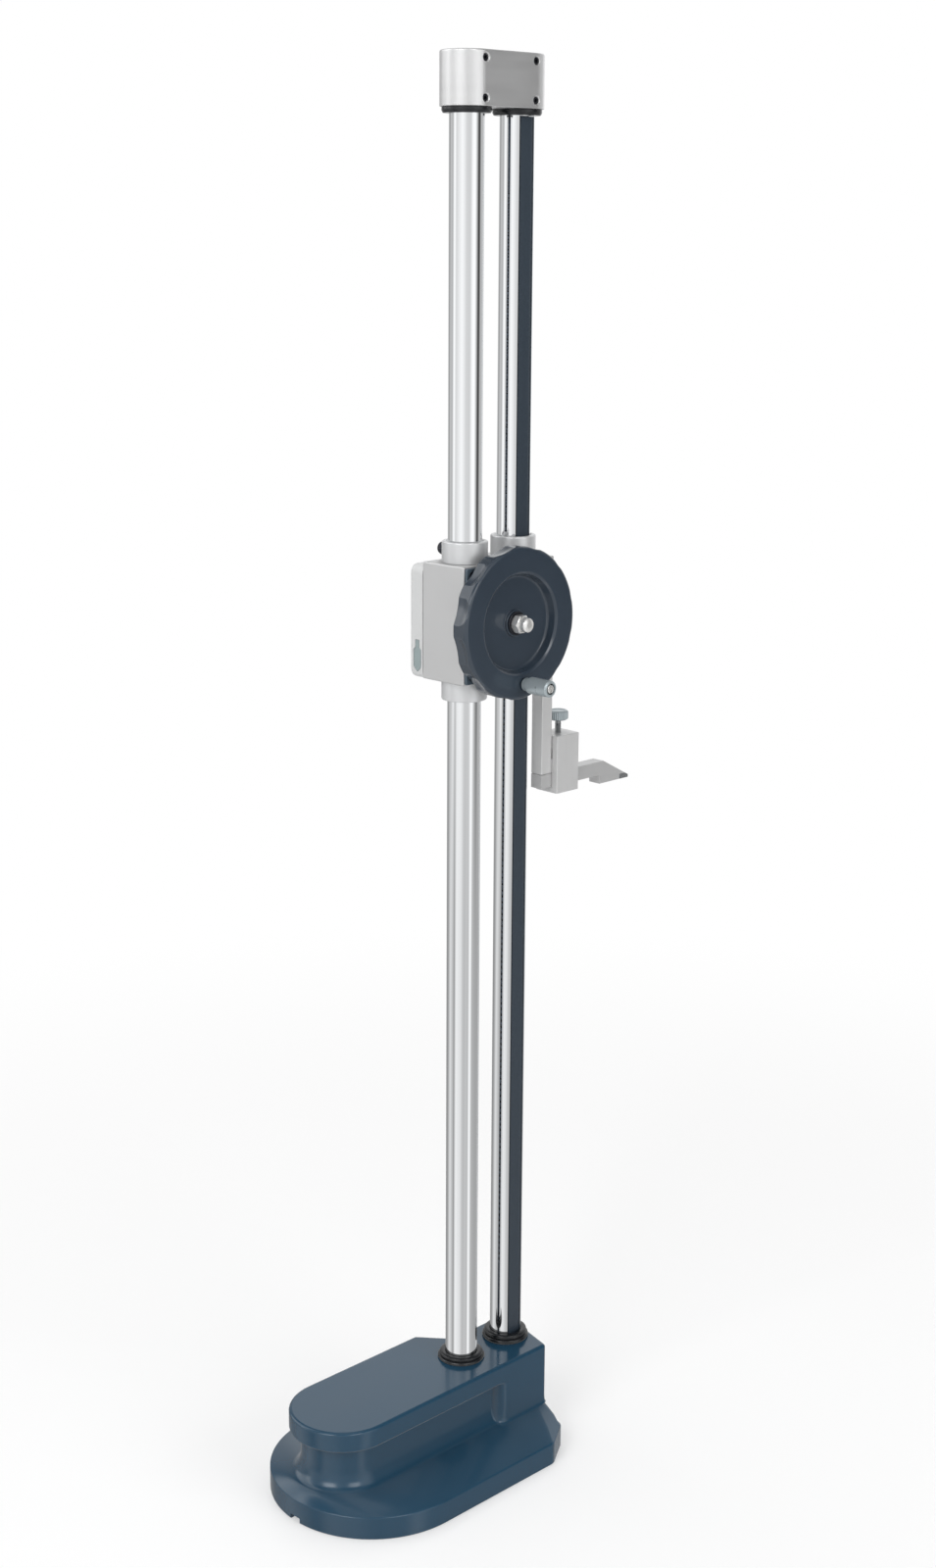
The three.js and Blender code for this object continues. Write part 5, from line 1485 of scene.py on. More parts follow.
    def shoulder_screw(self) -> Solid:
        """Slotted screw on which the knob turns.

        Returns:
            The screw.
        """
        x, z = self.knob_place
        front, end = self.knob_front, self.layout.wheel_front + self.screw_depth
        profile = soften([(0.1, front, 0), (self.screw_radius, front, 0.35), (self.screw_radius, end, 0)],
                         closed=False)
        reach = self.screw_radius + OVERRUN
        slot = prism(Axis.Y, soften(slab(x - self.slot_half, x + self.slot_half, z - reach, z + reach)),
                     front - OVERRUN, front + self.slot_depth)
        return turned(Axis.Y, profile, x, z, 64).shape([slot])

    def washer(self) -> Solid:
        """Washer under the nut."""
        section = slab(self.washer_bore, self.washer_radius, self.hub - self.washer_height,
                       self.hub - SEAT, 0.2)
        return turned(Axis.Y, soften(section, 3), *self.shaft, 64, ring=True)

    def build(self) -> None:
        """Builds the handwheel."""
        self.put(self.wheel(), "wheel_disc", "wheel_enamel", "wheel", ["handwheel"], smooth=45)
        self.put(self.nut(), "wheel_nut", "bright_nickel", "wheel", ["cap_nut"])
        self.put(self.washer(), "wheel_shim", "black_oxide", "wheel", ["wheel_washer"])
        self.put(self.sleeve(), "crank_sleeve", "knob_steel", "crank_knob", ["crank_knob"])
        self.put(self.shoulder_screw(), "crank_screw", "bright_nickel", "wheel", ["knob_screw"])


@dataclass
class Display(Assembly):
    """Display unit on the far side of the slider. Heights and places are from the slider's middle."""

    # Housing, its roundings, and thickness of its walls
    half_x: float = 36.6
    back: float = 18.3
    front: float = 29.3
    low: float = -35.5
    high: float = 32.5
    corner: float = 6.0
    edge: float = 2.0
    wall: float = 2.0
    # Gap round keys, covers and screws, depth of their pockets, and how far cuts reach past a face
    reveal: float = 0.3
    pocket: float = 4.0
    reach: float = 1.0
    # Half sizes of the window, height of its middle, ledge behind it, and its thickness
    window: Point = (28.0, 12.0)
    window_z: float = 15.0
    bezel: float = 2.0
    glass: float = 1.2
    # Reading, back and front of its figures, and their sizes
    reading: str = "421.60"
    layer: Point = (27.21, 27.26)
    figure_width: float = 6.4
    figure_height: float = 12.4
    bar: float = 1.3
    bar_gap: float = 0.2
    figure_pitch: float = 9.4
    dot_pitch: float = 1.2
    reading_left: float = -23.5
    # Place of the first key, distances to the next, numbers, radii and height
    key_start: Point = (-22.0, -9.5)
    key_pitch: Point = (11.5, 13.0)
    key_columns: int = 3
    key_count: int = 6
    key_radius: float = 4.0
    key_brim: float = 4.9
    key_height: float = 1.1
    # Place and radii of the battery cover, depths of brim and dish, and sizes of its coin slot
    cell_place: Point = (20.0, -16.5)
    cell_radius: float = 12.0
    cell_plug: float = 8.0
    cell_brim: float = 2.4
    cell_dish: float = 0.3
    coin_reach: float = 8.0
    coin_half: float = 1.0
    coin_depth: float = 1.2
    # Half distances between the corner screws, height of their middle, and sizes
    screw_half: Point = (32.0, 29.4)
    screw_z: float = -1.5
    screw_head: float = 4.4
    screw_length: float = 1.2
    socket: float = 1.6
    # Data port's cover from its lowest point up, and its thickness
    port_place: Point = (22.8, -31.5)
    port_half: float = 3.0
    port_point: float = 3.0
    port_shoulder: float = 13.5
    port_neck: float = 1.5
    port_top: float = 19.0
    port_skin: float = 1.1
    # Plug of the port's cover
    plug_half: Point = (1.7, 4.5)
    plug_z: float = -22.0
    plug_depth: float = 2.4

    def keys(self) -> list[Point]:
        """Places of the keys."""
        (left, top), (across, down) = self.key_start, self.key_pitch
        return [(left + across * (i % self.key_columns),
                 self.layout.slider_z + top - down * (i // self.key_columns)) for i in range(self.key_count)]

    def screw_places(self) -> list[Point]:
        """Places of the corner screws.

        Returns:
            The places.
        """
        across, up = self.screw_half
        z = self.layout.slider_z + self.screw_z
        return [(x, z + v) for x in (-across, across) for v in (-up, up)]

    def port(self, grow: float) -> list[Point]:
        """Outline of the port cover.

        Args:
            grow: How much larger it is made all round.

        Returns:
            Its points, as pairs of place across and height.
        """
        across, z = self.port_place[0], self.layout.slider_z + self.port_place[1]
        half, neck, top = self.port_half + grow, self.port_neck + grow, self.port_top + grow
        right = [(half, self.port_point, 0.6), (half, self.port_shoulder, 0.6),
                 (neck, self.port_shoulder + 1, 0.4), (neck, top, 0.5)]
        left = [(-u, v, rounding) for u, v, rounding in reversed(right)]
        return [(across + u, z + v) for u, v in soften([left[-1], (0, -grow, 0.8), *right, *left[:-1]], 3)]

    def section(self, inset: float, rounding: float, steps: int) -> list[Point]:
        """Outline of the housing, inset from its outer faces."""
        z = self.layout.slider_z
        return soften(slab(inset - self.half_x, self.half_x - inset, z + self.low + inset,
                           z + self.high - inset, rounding), steps)

    def opening(self, grow: float, rounding: float) -> list[Point]:
        """Outline of the window.

        Args:
            grow: How much larger it is made all round.
            rounding: Rounding of its corners.

        Returns:
            Its points.
        """
        half, up = self.window[0] + grow, self.window[1] + grow
        middle = self.layout.slider_z + self.window_z
        return soften(slab(-half, half, middle - up, middle + up, rounding))

    def housing(self) -> Solid:
        """Moulded housing, open towards the slider.

        Returns:
            The housing.
        """
        front, above, floor = self.front, self.front + self.reach, self.front - self.pocket
        levels = [(self.back, 0.0)]
        levels += [(front - drop, inset) for drop, inset in quarter(self.edge, 0, 22, 45, 67, 90)]
        levels.append((front, 1.3 * self.edge))
        rings = [[Vector((x, y, z)) for x, z in self.section(inset, max(self.corner - inset, 1), 8)]
                 for y, inset in levels]
        hollow = prism(Axis.Y, self.section(self.wall, self.corner - self.wall, 5),
                       self.back - self.reach, front - self.wall)
        seat = prism(Axis.Y, self.opening(FIT, 1.6), front - self.glass - SEAT, above)
        view = prism(Axis.Y, self.opening(-self.bezel, 1), floor + self.reach, front)
        keys = [rod(Axis.Y, 2 * (self.key_radius + self.reveal), floor, above, *place, 48)
                for place in self.keys()]
        cell_x, cell_z = self.cell_place
        cell = rod(Axis.Y, 2 * (self.cell_radius + self.reveal), floor, above, cell_x,
                   self.layout.slider_z + cell_z, 80)
        screw_floor = front - self.screw_length - self.reveal
        screws = [rod(Axis.Y, self.screw_head + 2 * FIT, screw_floor, above, *place)
                  for place in self.screw_places()]
        port = prism(Axis.X, self.port(self.reveal), -self.half_x - self.reach,
                     self.port_skin + SEAT - self.half_x)
        return Solid().shell(rings).shape([hollow, seat, view, *keys, cell, *screws, port])

    def digit(self, figure: str, left: float, bottom: float) -> list[Solid]:
        """Bars of one seven-bar figure.

        Args:
            figure: The figure.
            left: Its left edge, as a reader sees it.
            bottom: Its lower edge.

        Returns:
            The bars.
        """
        bars = {"0": "abcdef", "1": "bc", "2": "abged", "4": "fgbc", "6": "afgedc"}[figure]
        width, height, half, gap = self.figure_width, self.figure_height, self.bar / 2, self.bar_gap
        places = {"a": (0, height, True), "g": (0, height / 2, True), "d": (0, 0, True),
                  "f": (0, height / 2, False), "e": (0, 0, False), "b": (width, height / 2, False),
                  "c": (width, 0, False)}
        made = []
        for bar in bars:
            u, v, level = places[bar]
            length = width if level else height / 2
            near, far = gap + half, length - gap - half
            bar_line = [(gap, 0), (near, -half), (far, -half), (length - gap, 0), (far, half), (near, half)]
            line = bar_line if level else [(b, a) for a, b in bar_line]
            outline = [(-(left + u + a), bottom + v + b) for a, b in line]
            made.append(prism(Axis.Y, outline, *self.layer))
        return made

    def figures(self) -> Solid:
        """The whole reading.

        Returns:
            The reading.
        """
        bottom = self.layout.slider_z + self.window_z - self.figure_height / 2
        solids: list[Solid] = []
        left = self.reading_left
        dot = 0.7
        for figure in self.reading:
            if figure == ".":
                section = slab(0.6 - left, 0.6 - left + 2 * dot, bottom - dot, bottom + dot)
                solids.append(prism(Axis.Y, soften(section), *self.layer))
                left += self.dot_pitch
                continue
            solids += self.digit(figure, left, bottom)
            left += self.figure_pitch
        return gather(solids)

    def key(self, place: Point) -> Solid:
        """Round key with a dished face.

        Args:
            place: Its place.

        Returns:
            The key.
        """
        face, brim = self.front + self.key_height, self.front - self.wall - SEAT
        profile = soften([(self.key_brim, brim - 1, 0), (self.key_brim, brim, 0), (self.key_radius, brim, 0),
                          (self.key_radius, face, 0.7), (0.6 * self.key_radius, face - 0.25, 0.6),
                          (0.2, face - 0.35, 0)], closed=False)
        return turned(Axis.Y, profile, *place, 48)

    def battery_cover(self) -> Solid:
        """Round cover with a coin slot.

        Returns:
            The cover.
        """
        x, z = self.cell_place[0], self.layout.slider_z + self.cell_place[1]
        brim, dish = self.front - self.cell_brim, self.front - self.cell_dish
        profile = soften([(self.cell_plug, brim - 1.4, 0), (self.cell_plug, brim, 0),
                          (self.cell_radius, brim, 0), (self.cell_radius, self.front, 0.5),
                          (self.cell_radius - 1.4, self.front, 0.2), (self.cell_radius - 1.7, dish, 0.2),
                          (0.3, dish, 0)], closed=False)
        section = slab(x - self.coin_reach, x + self.coin_reach, z - self.coin_half, z + self.coin_half, 0.9)
        slot = prism(Axis.Y, soften(section), self.front - self.coin_depth, self.front + self.reach)
        return turned(Axis.Y, profile, x, z, 80).shape([slot])

    def port_cover(self) -> Solid:
        """Pointed cover of the data port.

        Returns:
            The cover.
        """
        outer = -self.half_x
        skin = prism(Axis.X, self.port(0), outer, outer + self.port_skin).bevel(0.2, 2)
        x, z = self.port_place[0], self.layout.slider_z + self.plug_z
        across, up = self.plug_half
        section = slab(x - across, x + across, z - up, z + up, 0.6)
        plug = prism(Axis.X, soften(section), outer + self.port_skin - SEAT,
                     outer + self.port_skin + self.plug_depth)
        return gather([skin, plug])

    def build(self) -> None:
        """Builds the display unit."""
        self.put(self.housing(), "display_shell", "display_moulding", "slider", ["display_housing"])
        lens = prism(Axis.Y, self.opening(0, 1.5), self.front - self.glass, self.front).bevel(0.2, 2)
        self.put(lens, "display_lens", "clear_window", "slider", ["display_window"])
        self.put(self.figures(), "display_figures", "digit_dark", "slider")
        for i, place in enumerate(self.keys()):
            self.put(self.key(place), f"round_key_{i + 1}", "key_grey", f"key_{i + 1}", [f"key_{i + 1}"])
        self.put(self.battery_cover(), "cell_cover", "key_grey", "battery_cover", ["battery_cover"])
        self.put(self.port_cover(), "port_flap", "port_moulding", "port_cover", ["port_cover"])
        for i, place in enumerate(self.screw_places()):
            screw = socket_screw(Axis.Y, self.screw_head, self.front - self.reveal, self.screw_length,
                                 self.socket, place)
            self.put(screw, f"housing_screw_{i + 1}", "black_oxide", "slider", [f"display_screw_{i + 1}"])


@dataclass
class ScriberClamp(Assembly):
    """Jaw arm with the clamped scriber. Heights are from the slider's middle height."""

    # Sides of arm and scriber
    near: float = -10.0
    far: float = -1.2
    # Arm, its foot, and rounding of its edges
    arm_x: float = 36.7
    width: float = 8.8
    foot: float = -101.3
    foot_height: float = 9.0
    foot_length: float = 28.0
    top: float = 22.0
    arm_edge: float = 0.35
    # Arm's screws
    screw_drop: float = 8.0
    screw_spacing: float = 24.0
    screw_head: float = 7.0
    screw_length: float = 3.8
    socket: float = 3.0
    # Clamp box, its walls, and rounding of its edges
    box_low: float = -114.0
    box_high: float = -77.8
    box_start: float = 45.8
    box_end: float = 65.2
    box_wall: float = 4.5
    box_floor: float = 3.5
    box_roof: float = 8.0
    box_edge: float = 0.5
    # Clamp screw: its axis, its hole, its thread and its knurled head
    clamp_x: float = 55.5
    clamp_bore: float = 4.4
    stem_start: float = -92.1
    stem_end: float = -69.9
    thread_turns: int = 24
    thread_core: float = 1.62
    thread_crest: float = 2.0
    grip_start: float = -69.8
    grip_end: float = -63.8
    grip_radius: float = 6.2
    ridges: int = 30
    knurl_depth: float = 0.34
    # Scriber's bar, its measuring face, and where nose and slope start
    scriber_top: float = -101.5
    scriber_low: float = -110.3
    scriber_length: float = 80.0
    nose: float = -115.9
    nose_start: float = 53.0
    slope_start: float = 56.5
    # Hard metal tip
    tip_length: float = 8.0
    tip_height: float = 3.15
    tip_face: float = 1.8

    @property
    def middle(self) -> float:
        """Middle of the arm's thickness."""
        return (self.near + self.far) / 2

    @property
    def end(self) -> float:
        """Front end of the scriber."""
        return self.arm_x + self.scriber_length

    def height(self, place: float) -> float:
        """Height over the ground from a height over the slider's middle."""
        return self.layout.slider_z + place

    def slope(self, place: float) -> float:
        """Finds the slope over the nose.

        Args:
            place: Height from the slider's middle.

        Returns:
            Place of the slope at that height.
        """
        face = self.nose + self.tip_face
        share = (place - face) / (self.scriber_top - face)
        return self.end + (self.arm_x + self.slope_start - self.end) * share

    def arm(self) -> Solid:
        """Upright arm with its foot and screw holes.

        Returns:
            The arm.
        """
        back, front, toe = self.arm_x, self.arm_x + self.width, self.arm_x + self.foot_length
        low, high = self.height(self.foot), self.height(self.top)
        knee = low + self.foot_height
        outline = [(back, low), (toe, low), (toe, knee), (front, knee), (front, high), (back, high)]
        bar = prism(Axis.Y, outline, self.near, self.far).bevel(self.arm_edge)
        floor = front - self.screw_length - FIT
        holes = [rod(Axis.X, self.screw_head + 2 * FIT, floor, front + 1, self.middle, v, 48)
                 for v in self.screw_heights()]
        return bar.shape(holes)

    def screw_heights(self) -> list[float]:
        """Heights of the arm's screws."""
        top = self.height(self.top) - self.screw_drop
        return [top - self.screw_spacing, top]

    def box(self) -> Solid:
        """Clamp box round foot and scriber.

        Returns:
            The box.
        """
        low, high = self.height(self.box_low), self.height(self.box_high)
        outer = soften(slab(self.near - self.box_wall, self.far + self.box_wall, low, high))
        inner = soften(slab(self.near - FIT, self.far + FIT, low + self.box_floor, high - self.box_roof))
        hollow = prism(Axis.X, inner, self.box_start - OVERRUN, self.box_end + OVERRUN)
        bore = rod(Axis.Z, self.clamp_bore, high - self.box_roof - 1, high + 1, self.clamp_x, self.middle)
        return prism(Axis.X, outer, self.box_start, self.box_end).bevel(self.box_edge).shape([hollow, bore])

    def stem(self) -> Solid:
        """Threaded stem of the clamp screw.

        Returns:
            The stem.
        """
        start, end = self.height(self.stem_start), self.height(self.stem_end)
        profile: list[Point] = [(0.4, start), (1.5, start)]
        pitch = (end - 1.5 - start) / self.thread_turns
        for i in range(self.thread_turns):
            low = start + pitch * i
            profile += [(self.thread_core, low + pitch * 0.1), (self.thread_crest, low + pitch * 0.5)]
        profile += [(1.7, end - 1.4), (1.7, end)]
        return turned(Axis.Z, profile, self.clamp_x, self.middle, 48)

    def grip(self) -> Solid:
        """Knurled head of the clamp screw.

        Returns:
            The head.
        """
        low, high, radius = self.height(self.grip_start), self.height(self.grip_end), self.grip_radius
        profile = soften([(0.5, low, 0), (radius - 1.3, low, 0.5), (radius, low + 0.8, 0.3),
                          (radius, high - 0.9, 0.3), (radius - 0.9, high, 0.4), (radius - 1.8, high, 0.2),
                          (radius - 2.0, high - 0.3, 0.1), (0.5, high - 0.3, 0)], 3, closed=False)
        ripple = knurl(radius - 0.3, self.ridges, self.knurl_depth)
        return turned(Axis.Z, profile, self.clamp_x, self.middle, 8 * self.ridges, ripple=ripple)

    def scriber(self) -> Solid:
        """Scriber bar with its dropped nose and bevel, less the tip's notch.

        Returns:
            The bar.
        """
        low, top, nose = (self.height(v) for v in (self.scriber_low, self.scriber_top, self.nose))
        drop, notch = self.arm_x + self.nose_start, self.end - self.tip_length - SEAT
        roof = self.tip_height + 0.05
        outline = [(self.arm_x, low), (drop, low), (drop, nose), (notch, nose), (notch, nose + roof),
                   (self.slope(self.nose + roof), nose + roof), (self.arm_x + self.slope_start, top),
                   (self.arm_x, top)]
        return prism(Axis.Y, outline, self.near, self.far).bevel(0.18, 2, 30)

    def tip(self) -> Solid:
        """Hard metal tip.

        Returns:
            The tip.
        """
        low, back = self.height(self.nose), self.end - self.tip_length
        high = low + self.tip_height
        outline = [(back, low), (self.end, low), (self.end, low + self.tip_face),
                   (self.slope(self.nose + self.tip_height), high), (back, high)]
        return prism(Axis.Y, outline, self.near, self.far).bevel(0.08, 2, 25)

    def build(self) -> None:
        """Builds the arm, clamp and scriber."""
        self.put(self.arm(), "arm_bar", "ground_steel", "slider", ["jaw_arm"])
        for i, height in enumerate(self.screw_heights()):
            screw = socket_screw(Axis.X, self.screw_head, self.arm_x + self.width - SEAT, self.screw_length,
                                 self.socket, (self.middle, height))
            self.put(screw, f"arm_cap_screw_{i + 1}", "black_oxide", "slider", [f"arm_screw_{i + 1}"])
        self.put(self.box(), "clamp_frame", "ground_steel", "clamp", ["clamp_box"])
        self.put(self.grip(), "clamp_knob", "knob_steel", "clamp_screw", ["clamp_screw"])
        self.put(self.stem(), "clamp_stem", "hard_metal", "clamp_screw")
        self.put(self.scriber(), "scriber_blade", "scriber_steel", "scriber", ["scriber_bar"])
        self.put(self.tip(), "scriber_tip", "hard_metal", "scriber", ["carbide_tip"])


# Studio


LEVEL_PANELS: tuple[Point, ...] = (
    (0, 0.68), (8, 1.05), (52, 1.0), (64, 0.55), (76, 0.5), (91, 0.28), (104, 0.55), (117, 0.52),
    (127, 0.45), (136, 0.75), (143, 1.06), (152, 0.9), (159, 0.7), (174, 0.8), (199, 0.98),
    (212, 0.88), (229, 0.68), (253, 0.64), (266, 0.95), (279, 1.04), (287, 1.0), (294, 0.7),
    (301, 0.42), (310, 0.1), (317, 0.02), (326, 0.2), (335, 0.52), (349, 0.48),
)
LOW_PANELS: tuple[Point, ...] = (
    (0, 0.38), (8, 0.42), (45, 0.42), (75, 0.3), (86, 0.28), (102, 0.36), (115, 0.55), (126, 0.74),
    (140, 0.62), (154, 0.46), (161, 0.28), (169, 0.58), (177, 0.88), (199, 0.8), (212, 0.75),
    (222, 0.58), (233, 0.5), (250, 0.56), (260, 0.48), (267, 0.7), (275, 1.03), (282, 0.84),
    (290, 0.5), (300, 0.44), (320, 0.39), (350, 0.38),
)
SIDE_PANELS: tuple[Point, ...] = (
    (0, 0), (176, 0), (182, 1), (204, 1), (210, 0), (238, 0), (244, 1), (262, 1), (268, 0),
)
REAR_PANELS: tuple[Point, ...] = ((0, 0), (90, 0), (98, 1), (138, 1), (146, 0))


@dataclass(frozen=True)
class Lamp:
    """A soft area lamp that looks at the gauge.

    Attributes:
        name: Its name.
        place: Its place in metres.
        width, height: Its sizes in metres.
        power: Its power in watts.
        aim: The place it looks at, in metres.
    """

    name: str
    place: Corner
    width: float
    height: float
    power: float
    aim: Corner = (0, 0, 0.4)

    def build(self) -> None:
        """Adds the lamp to the scene, unseen in what shines."""
        data = bpy.data.lights.new(self.name, "AREA")
        data.shape = "RECTANGLE"
        data.size = self.width
        data.size_y = self.height
        data.energy = self.power
        made = bpy.data.objects.new(self.name, data)
        bpy.context.scene.collection.objects.link(made)
        made.visible_glossy = False
        made.location = self.place
        ahead = Vector(self.aim) - Vector(self.place)
        made.rotation_euler = ahead.to_track_quat("-Z", "Y").to_euler()


@dataclass(frozen=True)
class Surroundings:
    """White for the eye, plain light for what is dull, and a ring of panels for what shines.

    Attributes:
        ambient: Strength of the plain light.
        side_boxes, top_box, rear_box: Strengths of the soft boxes at the sides, above and behind.
        first_depth: Ray depth below which a reflection is the first and sees the soft boxes.
        dimming: How far the panels darken towards the top.
        low_edge: Heights between which the low panels give way to the level ones.
        rear_edge, side_edge, top_edge: Heights between which the soft boxes start.
        side_end: Heights between which those at the sides end.
    """

    ambient: float = 0.42
    side_boxes: float = 4.0
    top_box: float = 0.6
    rear_box: float = 2.2
    first_depth: float = 2.5
    dimming: float = 0.74
    low_edge: Point = (-0.34, -0.1)
    rear_edge: Point = (0.06, 0.16)
    side_edge: Point = (0.26, 0.36)
    side_end: Point = (0.54, 0.68)
    top_edge: Point = (0.86, 0.93)

    @staticmethod
    def ramp(sheet: Sheet, share: Socket, stops: Sequence[Point]) -> Socket:
        """Grey panels by their direction round the gauge.

        Args:
            sheet: Sheet of the world's tree.
            share: Direction as a share of a turn.
            stops: Pairs of direction in degrees and brightness.

        Returns:
            Colour socket of the ramp.
        """
        node = sheet.add("ShaderNodeValToRGB", {"Fac": share})
        elements = node.color_ramp.elements
        while len(elements) < len(stops):
            elements.new(0.5)
        for element, (degrees, _) in zip(elements, stops):
            element.position = degrees / 360
        for element, (_, grey) in zip(node.color_ramp.elements, stops):
            element.color = (grey, grey * 1.005, grey * 1.01, 1)
        return node.outputs["Color"]

    @staticmethod
    def rise(sheet: Sheet, height: Socket, edge: Point) -> Socket:
        """Smooth rise from 0 to 1 between two heights of the direction looked at."""
        node = sheet.add("ShaderNodeMapRange", {"Value": height, "From Min": edge[0], "From Max": edge[1]},
                         interpolation_type="SMOOTHSTEP")
        return node.outputs["Result"]

    def strength(self, sheet: Sheet, share: Socket, height: Socket, depth: Socket) -> Socket:
        """Strength of the panels, with the soft boxes in the first reflection alone.

        Args:
            sheet: Sheet of the world's tree.
            share: Direction as a share of a turn.
            height: Height of the direction looked at.
            depth: Depth of the ray.

        Returns:
            Socket of the strength.
        """
        above = self.rise(sheet, height, self.top_edge)
        fade = self.rise(sheet, height, self.side_end)
        side_band = sheet.math("SUBTRACT", self.rise(sheet, height, self.side_edge), fade)
        rear_band = sheet.math("SUBTRACT", self.rise(sheet, height, self.rear_edge), above)
        side = sheet.math("MULTIPLY", self.ramp(sheet, share, SIDE_PANELS), side_band)
        rear = sheet.math("MULTIPLY", self.ramp(sheet, share, REAR_PANELS), rear_band)
        sides_and_top = sheet.math("ADD", sheet.math("MULTIPLY", side, self.side_boxes),
                                   sheet.math("MULTIPLY", above, self.top_box))
        boxes = sheet.math("ADD", sides_and_top, sheet.math("MULTIPLY", rear, self.rear_box))
        first = sheet.math("LESS_THAN", depth, self.first_depth)
        walls = sheet.math("SUBTRACT", 1.0, sheet.math("MULTIPLY", fade, self.dimming))
        return sheet.math("ADD", sheet.math("MULTIPLY", boxes, first), walls)

    def build(self) -> None:
        """Builds the world."""
        world = bpy.data.worlds.new("studio")
        world.use_nodes = True
        bpy.context.scene.world = world
        sheet = Sheet(world.node_tree)
        sheet.tree.nodes.clear()
        direction = sheet.add("ShaderNodeTexCoord").outputs["Generated"]
        parts = sheet.add("ShaderNodeSeparateXYZ", {"Vector": direction})
        height = parts.outputs["Z"]
        turn = sheet.math("ARCTAN2", sheet.math("MULTIPLY", parts.outputs["Y"], -1),
                          sheet.math("MULTIPLY", parts.outputs["X"], -1))
        share = sheet.math("ADD", sheet.math("DIVIDE", turn, 2 * math.pi), 0.5)
        panels = sheet.blend(self.rise(sheet, height, self.low_edge), self.ramp(sheet, share, LOW_PANELS),
                             self.ramp(sheet, share, LEVEL_PANELS))
        path = sheet.add("ShaderNodeLightPath")
        strength = self.strength(sheet, share, height, path.outputs["Ray Depth"])
        shining = sheet.math("MAXIMUM", path.outputs["Is Glossy Ray"], path.outputs["Is Transmission Ray"])
        plain = sheet.add("ShaderNodeBackground", {"Color": WHITE, "Strength": self.ambient})
        mirrored = sheet.add("ShaderNodeBackground", {"Color": panels, "Strength": strength})
        white = sheet.add("ShaderNodeBackground", {"Color": WHITE, "Strength": 1.0})
        unseen = sheet.mix(shining, plain, mirrored)
        seen = sheet.mix(path.outputs["Is Camera Ray"], unseen, white)
        sheet.add("ShaderNodeOutputWorld", {"Surface": seen.outputs[0]})


@dataclass(frozen=True)
class Floor:
    """Pale round floor that fades into the white surroundings.

    Attributes:
        radius: Its radius in metres.
        drop: How far it lies under the gauge, in metres.
        grey: Its linear grey.
        roughness: Its roughness.
        fade_start, fade_end: Distances in metres between which it fades to plain white.
        near_glow: Share of plain white close to the gauge.
    """

    radius: float = 4.0
    drop: float = 0.0003
    grey: float = 0.93
    roughness: float = 0.9
    fade_start: float = 0.25
    fade_end: float = 1.1
    near_glow: float = 0.4

    def material(self) -> bpy.types.Material:
        """Builds the floor's material.

        Returns:
            The material.
        """
        material = bpy.data.materials.new("pale_floor")
        material.use_nodes = True
        sheet = Sheet(material.node_tree)
        shader = sheet.feed(material.node_tree.nodes["Principled BSDF"], {
            "Roughness": self.roughness, "Base Color": (self.grey, self.grey, self.grey, 1)})
        glow = sheet.add("ShaderNodeEmission", {"Color": WHITE, "Strength": 1.0})
        place = sheet.add("ShaderNodeTexCoord").outputs["Object"]
        reach = sheet.add("ShaderNodeVectorMath", {0: place}, operation="LENGTH")
        limits = {"From Min": self.fade_start, "From Max": self.fade_end, "To Min": self.near_glow,
                  "To Max": 1.0}
        fade = sheet.add("ShaderNodeMapRange", {"Value": reach.outputs["Value"], **limits},
                         interpolation_type="SMOOTHSTEP")
        path = sheet.add("ShaderNodeLightPath")
        seen = sheet.math("MULTIPLY", fade.outputs["Result"], path.outputs["Is Camera Ray"])
        sheet.feed(material.node_tree.nodes["Material Output"], {
            "Surface": sheet.mix(seen, shader, glow).outputs[0]})
        return material

    def build(self) -> None:
        """Builds the floor."""
        disc = bmesh.new()
        bmesh.ops.create_circle(disc, cap_ends=True, segments=96, radius=self.radius)
        mesh = bpy.data.meshes.new("floor")
        disc.to_mesh(mesh)
        disc.free()
        floor = bpy.data.objects.new("floor", mesh)
        bpy.context.scene.collection.objects.link(floor)
        floor.location.z = -self.drop
        floor.visible_glossy = False
        mesh.materials.append(self.material())


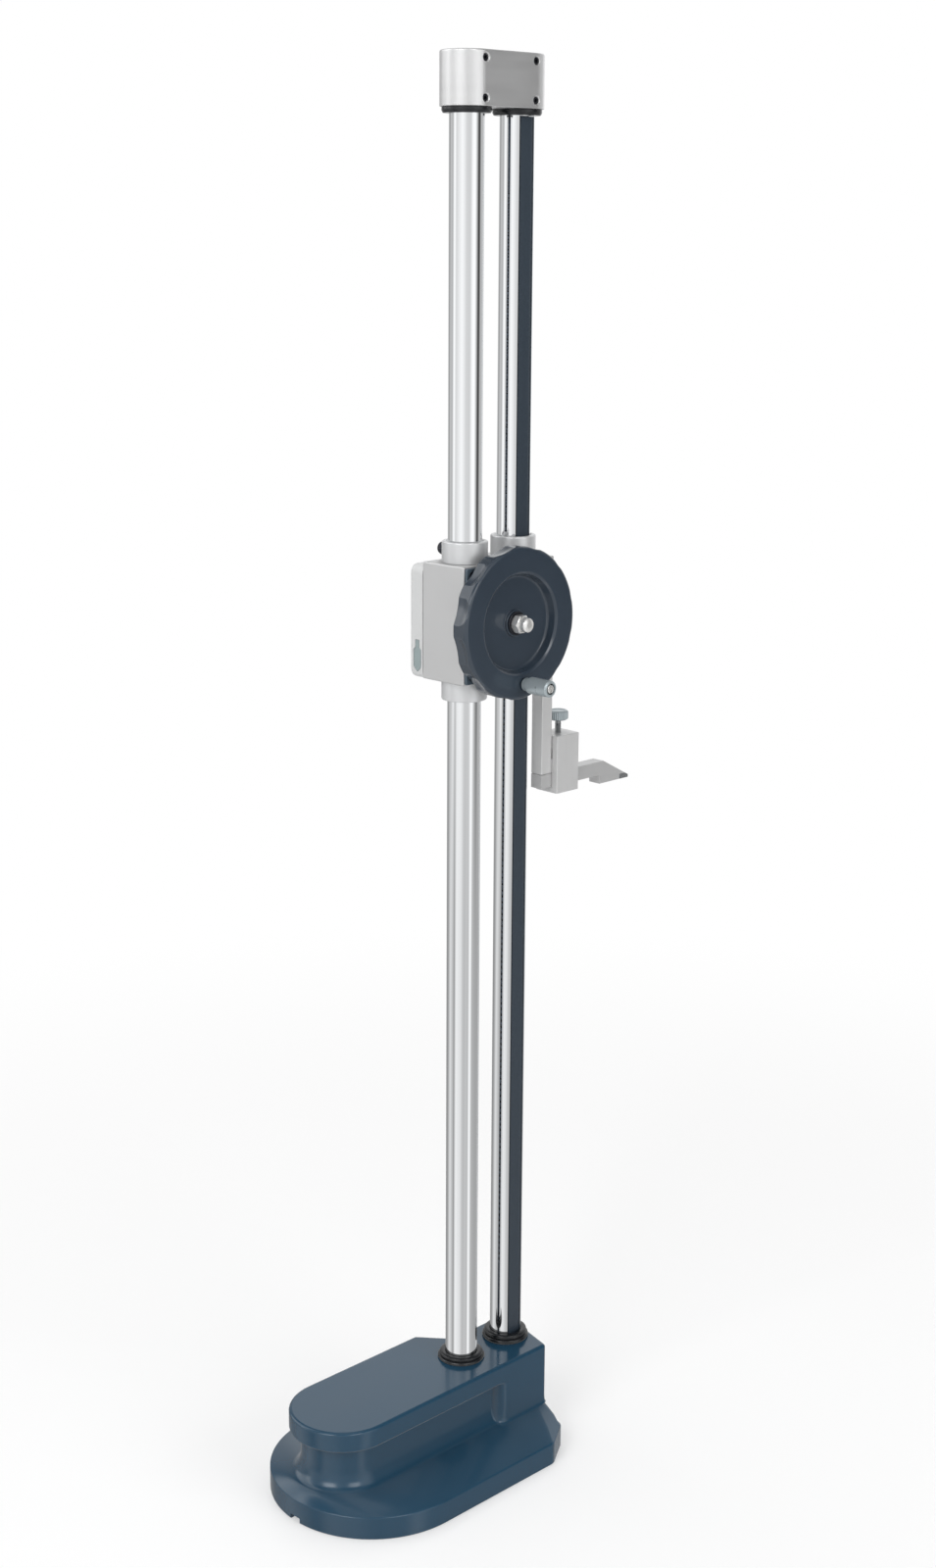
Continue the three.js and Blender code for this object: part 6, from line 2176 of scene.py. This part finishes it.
@dataclass(frozen=True)
class Camera:
    """Camera at the photograph's angle.

    Attributes:
        place: Its place in metres.
        yaw: Direction of view from +X towards +Y, in degrees.
        pitch: Angle below the horizon, in degrees.
        roll: Roll in degrees.
        lens: Focal length on a sensor whose long side is given next.
        sensor: Long side of the sensor.
        clip_start: Nearest distance that it sees, in metres.
    """

    place: Corner = (-0.9131, -0.9131, 0.7619)
    yaw: float = 45.52
    pitch: float = 14.2
    roll: float = 0.29
    lens: float = 50.625
    sensor: float = 36
    clip_start: float = 0.05

    def build(self) -> None:
        """Places the camera and makes it the scene's own."""
        yaw, pitch, roll = (math.radians(v) for v in (self.yaw, self.pitch, self.roll))
        ahead = Vector((math.cos(pitch) * math.cos(yaw), math.cos(pitch) * math.sin(yaw), -math.sin(pitch)))
        right = ahead.cross(Vector((0, 0, 1))).normalized()
        above = right.cross(ahead)
        across = right * math.cos(roll) + above * math.sin(roll)
        upright = above * math.cos(roll) - right * math.sin(roll)
        data = bpy.data.cameras.new("studio_camera")
        data.lens = self.lens
        data.sensor_width = self.sensor
        data.sensor_fit = "AUTO"
        data.clip_start = self.clip_start
        made = bpy.data.objects.new("studio_camera", data)
        bpy.context.scene.collection.objects.link(made)
        columns = Matrix((across, upright, -ahead)).transposed()
        made.matrix_world = Matrix.Translation(self.place) @ columns.to_4x4()
        bpy.context.scene.camera = made


@dataclass(frozen=True)
class Studio:
    """Camera, surroundings, floor and lamps.

    Attributes:
        camera: The camera.
        surroundings: The surroundings.
        floor: The floor.
        lamps: The lamps.
    """

    camera: Camera = Camera()
    surroundings: Surroundings = Surroundings()
    floor: Floor = Floor()
    lamps: tuple[Lamp, ...] = (
        Lamp("key_lamp", (-2.2, -0.5, 1.9), 1.4, 1.6, 34),
        Lamp("fill_lamp", (0.3, -2.3, 1.1), 1.6, 1.6, 24),
        Lamp("top_lamp", (0.2, 0.6, 2.4), 1.6, 1.6, 20),
    )

    def build(self) -> None:
        """Builds the studio."""
        for part in (self.camera, self.surroundings, self.floor, *self.lamps):
            part.build()
        bpy.context.scene.view_settings.view_transform = "Standard"


def dress_nodes(frame: dict, materials: dict[str, bpy.types.Material]) -> None:
    """Gives every CAD node the finish of its material slot.

    Args:
        frame: The loaded frame.
        materials: Material of each finish.
    """
    for part in frame["record"]["subparts"]:
        node = frame["nodes"][part["node"]]
        finish = materials[SLOT_FINISHES[part["material_slot"]]]
        if not node.material_slots:
            node.data.materials.append(finish)
        for slot in node.material_slots:
            slot.material = finish


def main() -> None:
    """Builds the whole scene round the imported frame."""
    logging.basicConfig(level=logging.INFO, format="%(message)s")
    for existing in list(bpy.data.objects):
        bpy.data.objects.remove(existing)
    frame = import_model()
    Effects.build()
    materials = {finish.name: finish.make() for finish in FINISHES}
    dress_nodes(frame, materials)
    Studio().build()
    layout = Layout.read()
    for assembly in (Foot, Columns, Head, SliderBlock, Handwheel, Display, ScriberClamp):
        assembly(layout, materials).build()


if __name__ == "__main__":
    main()
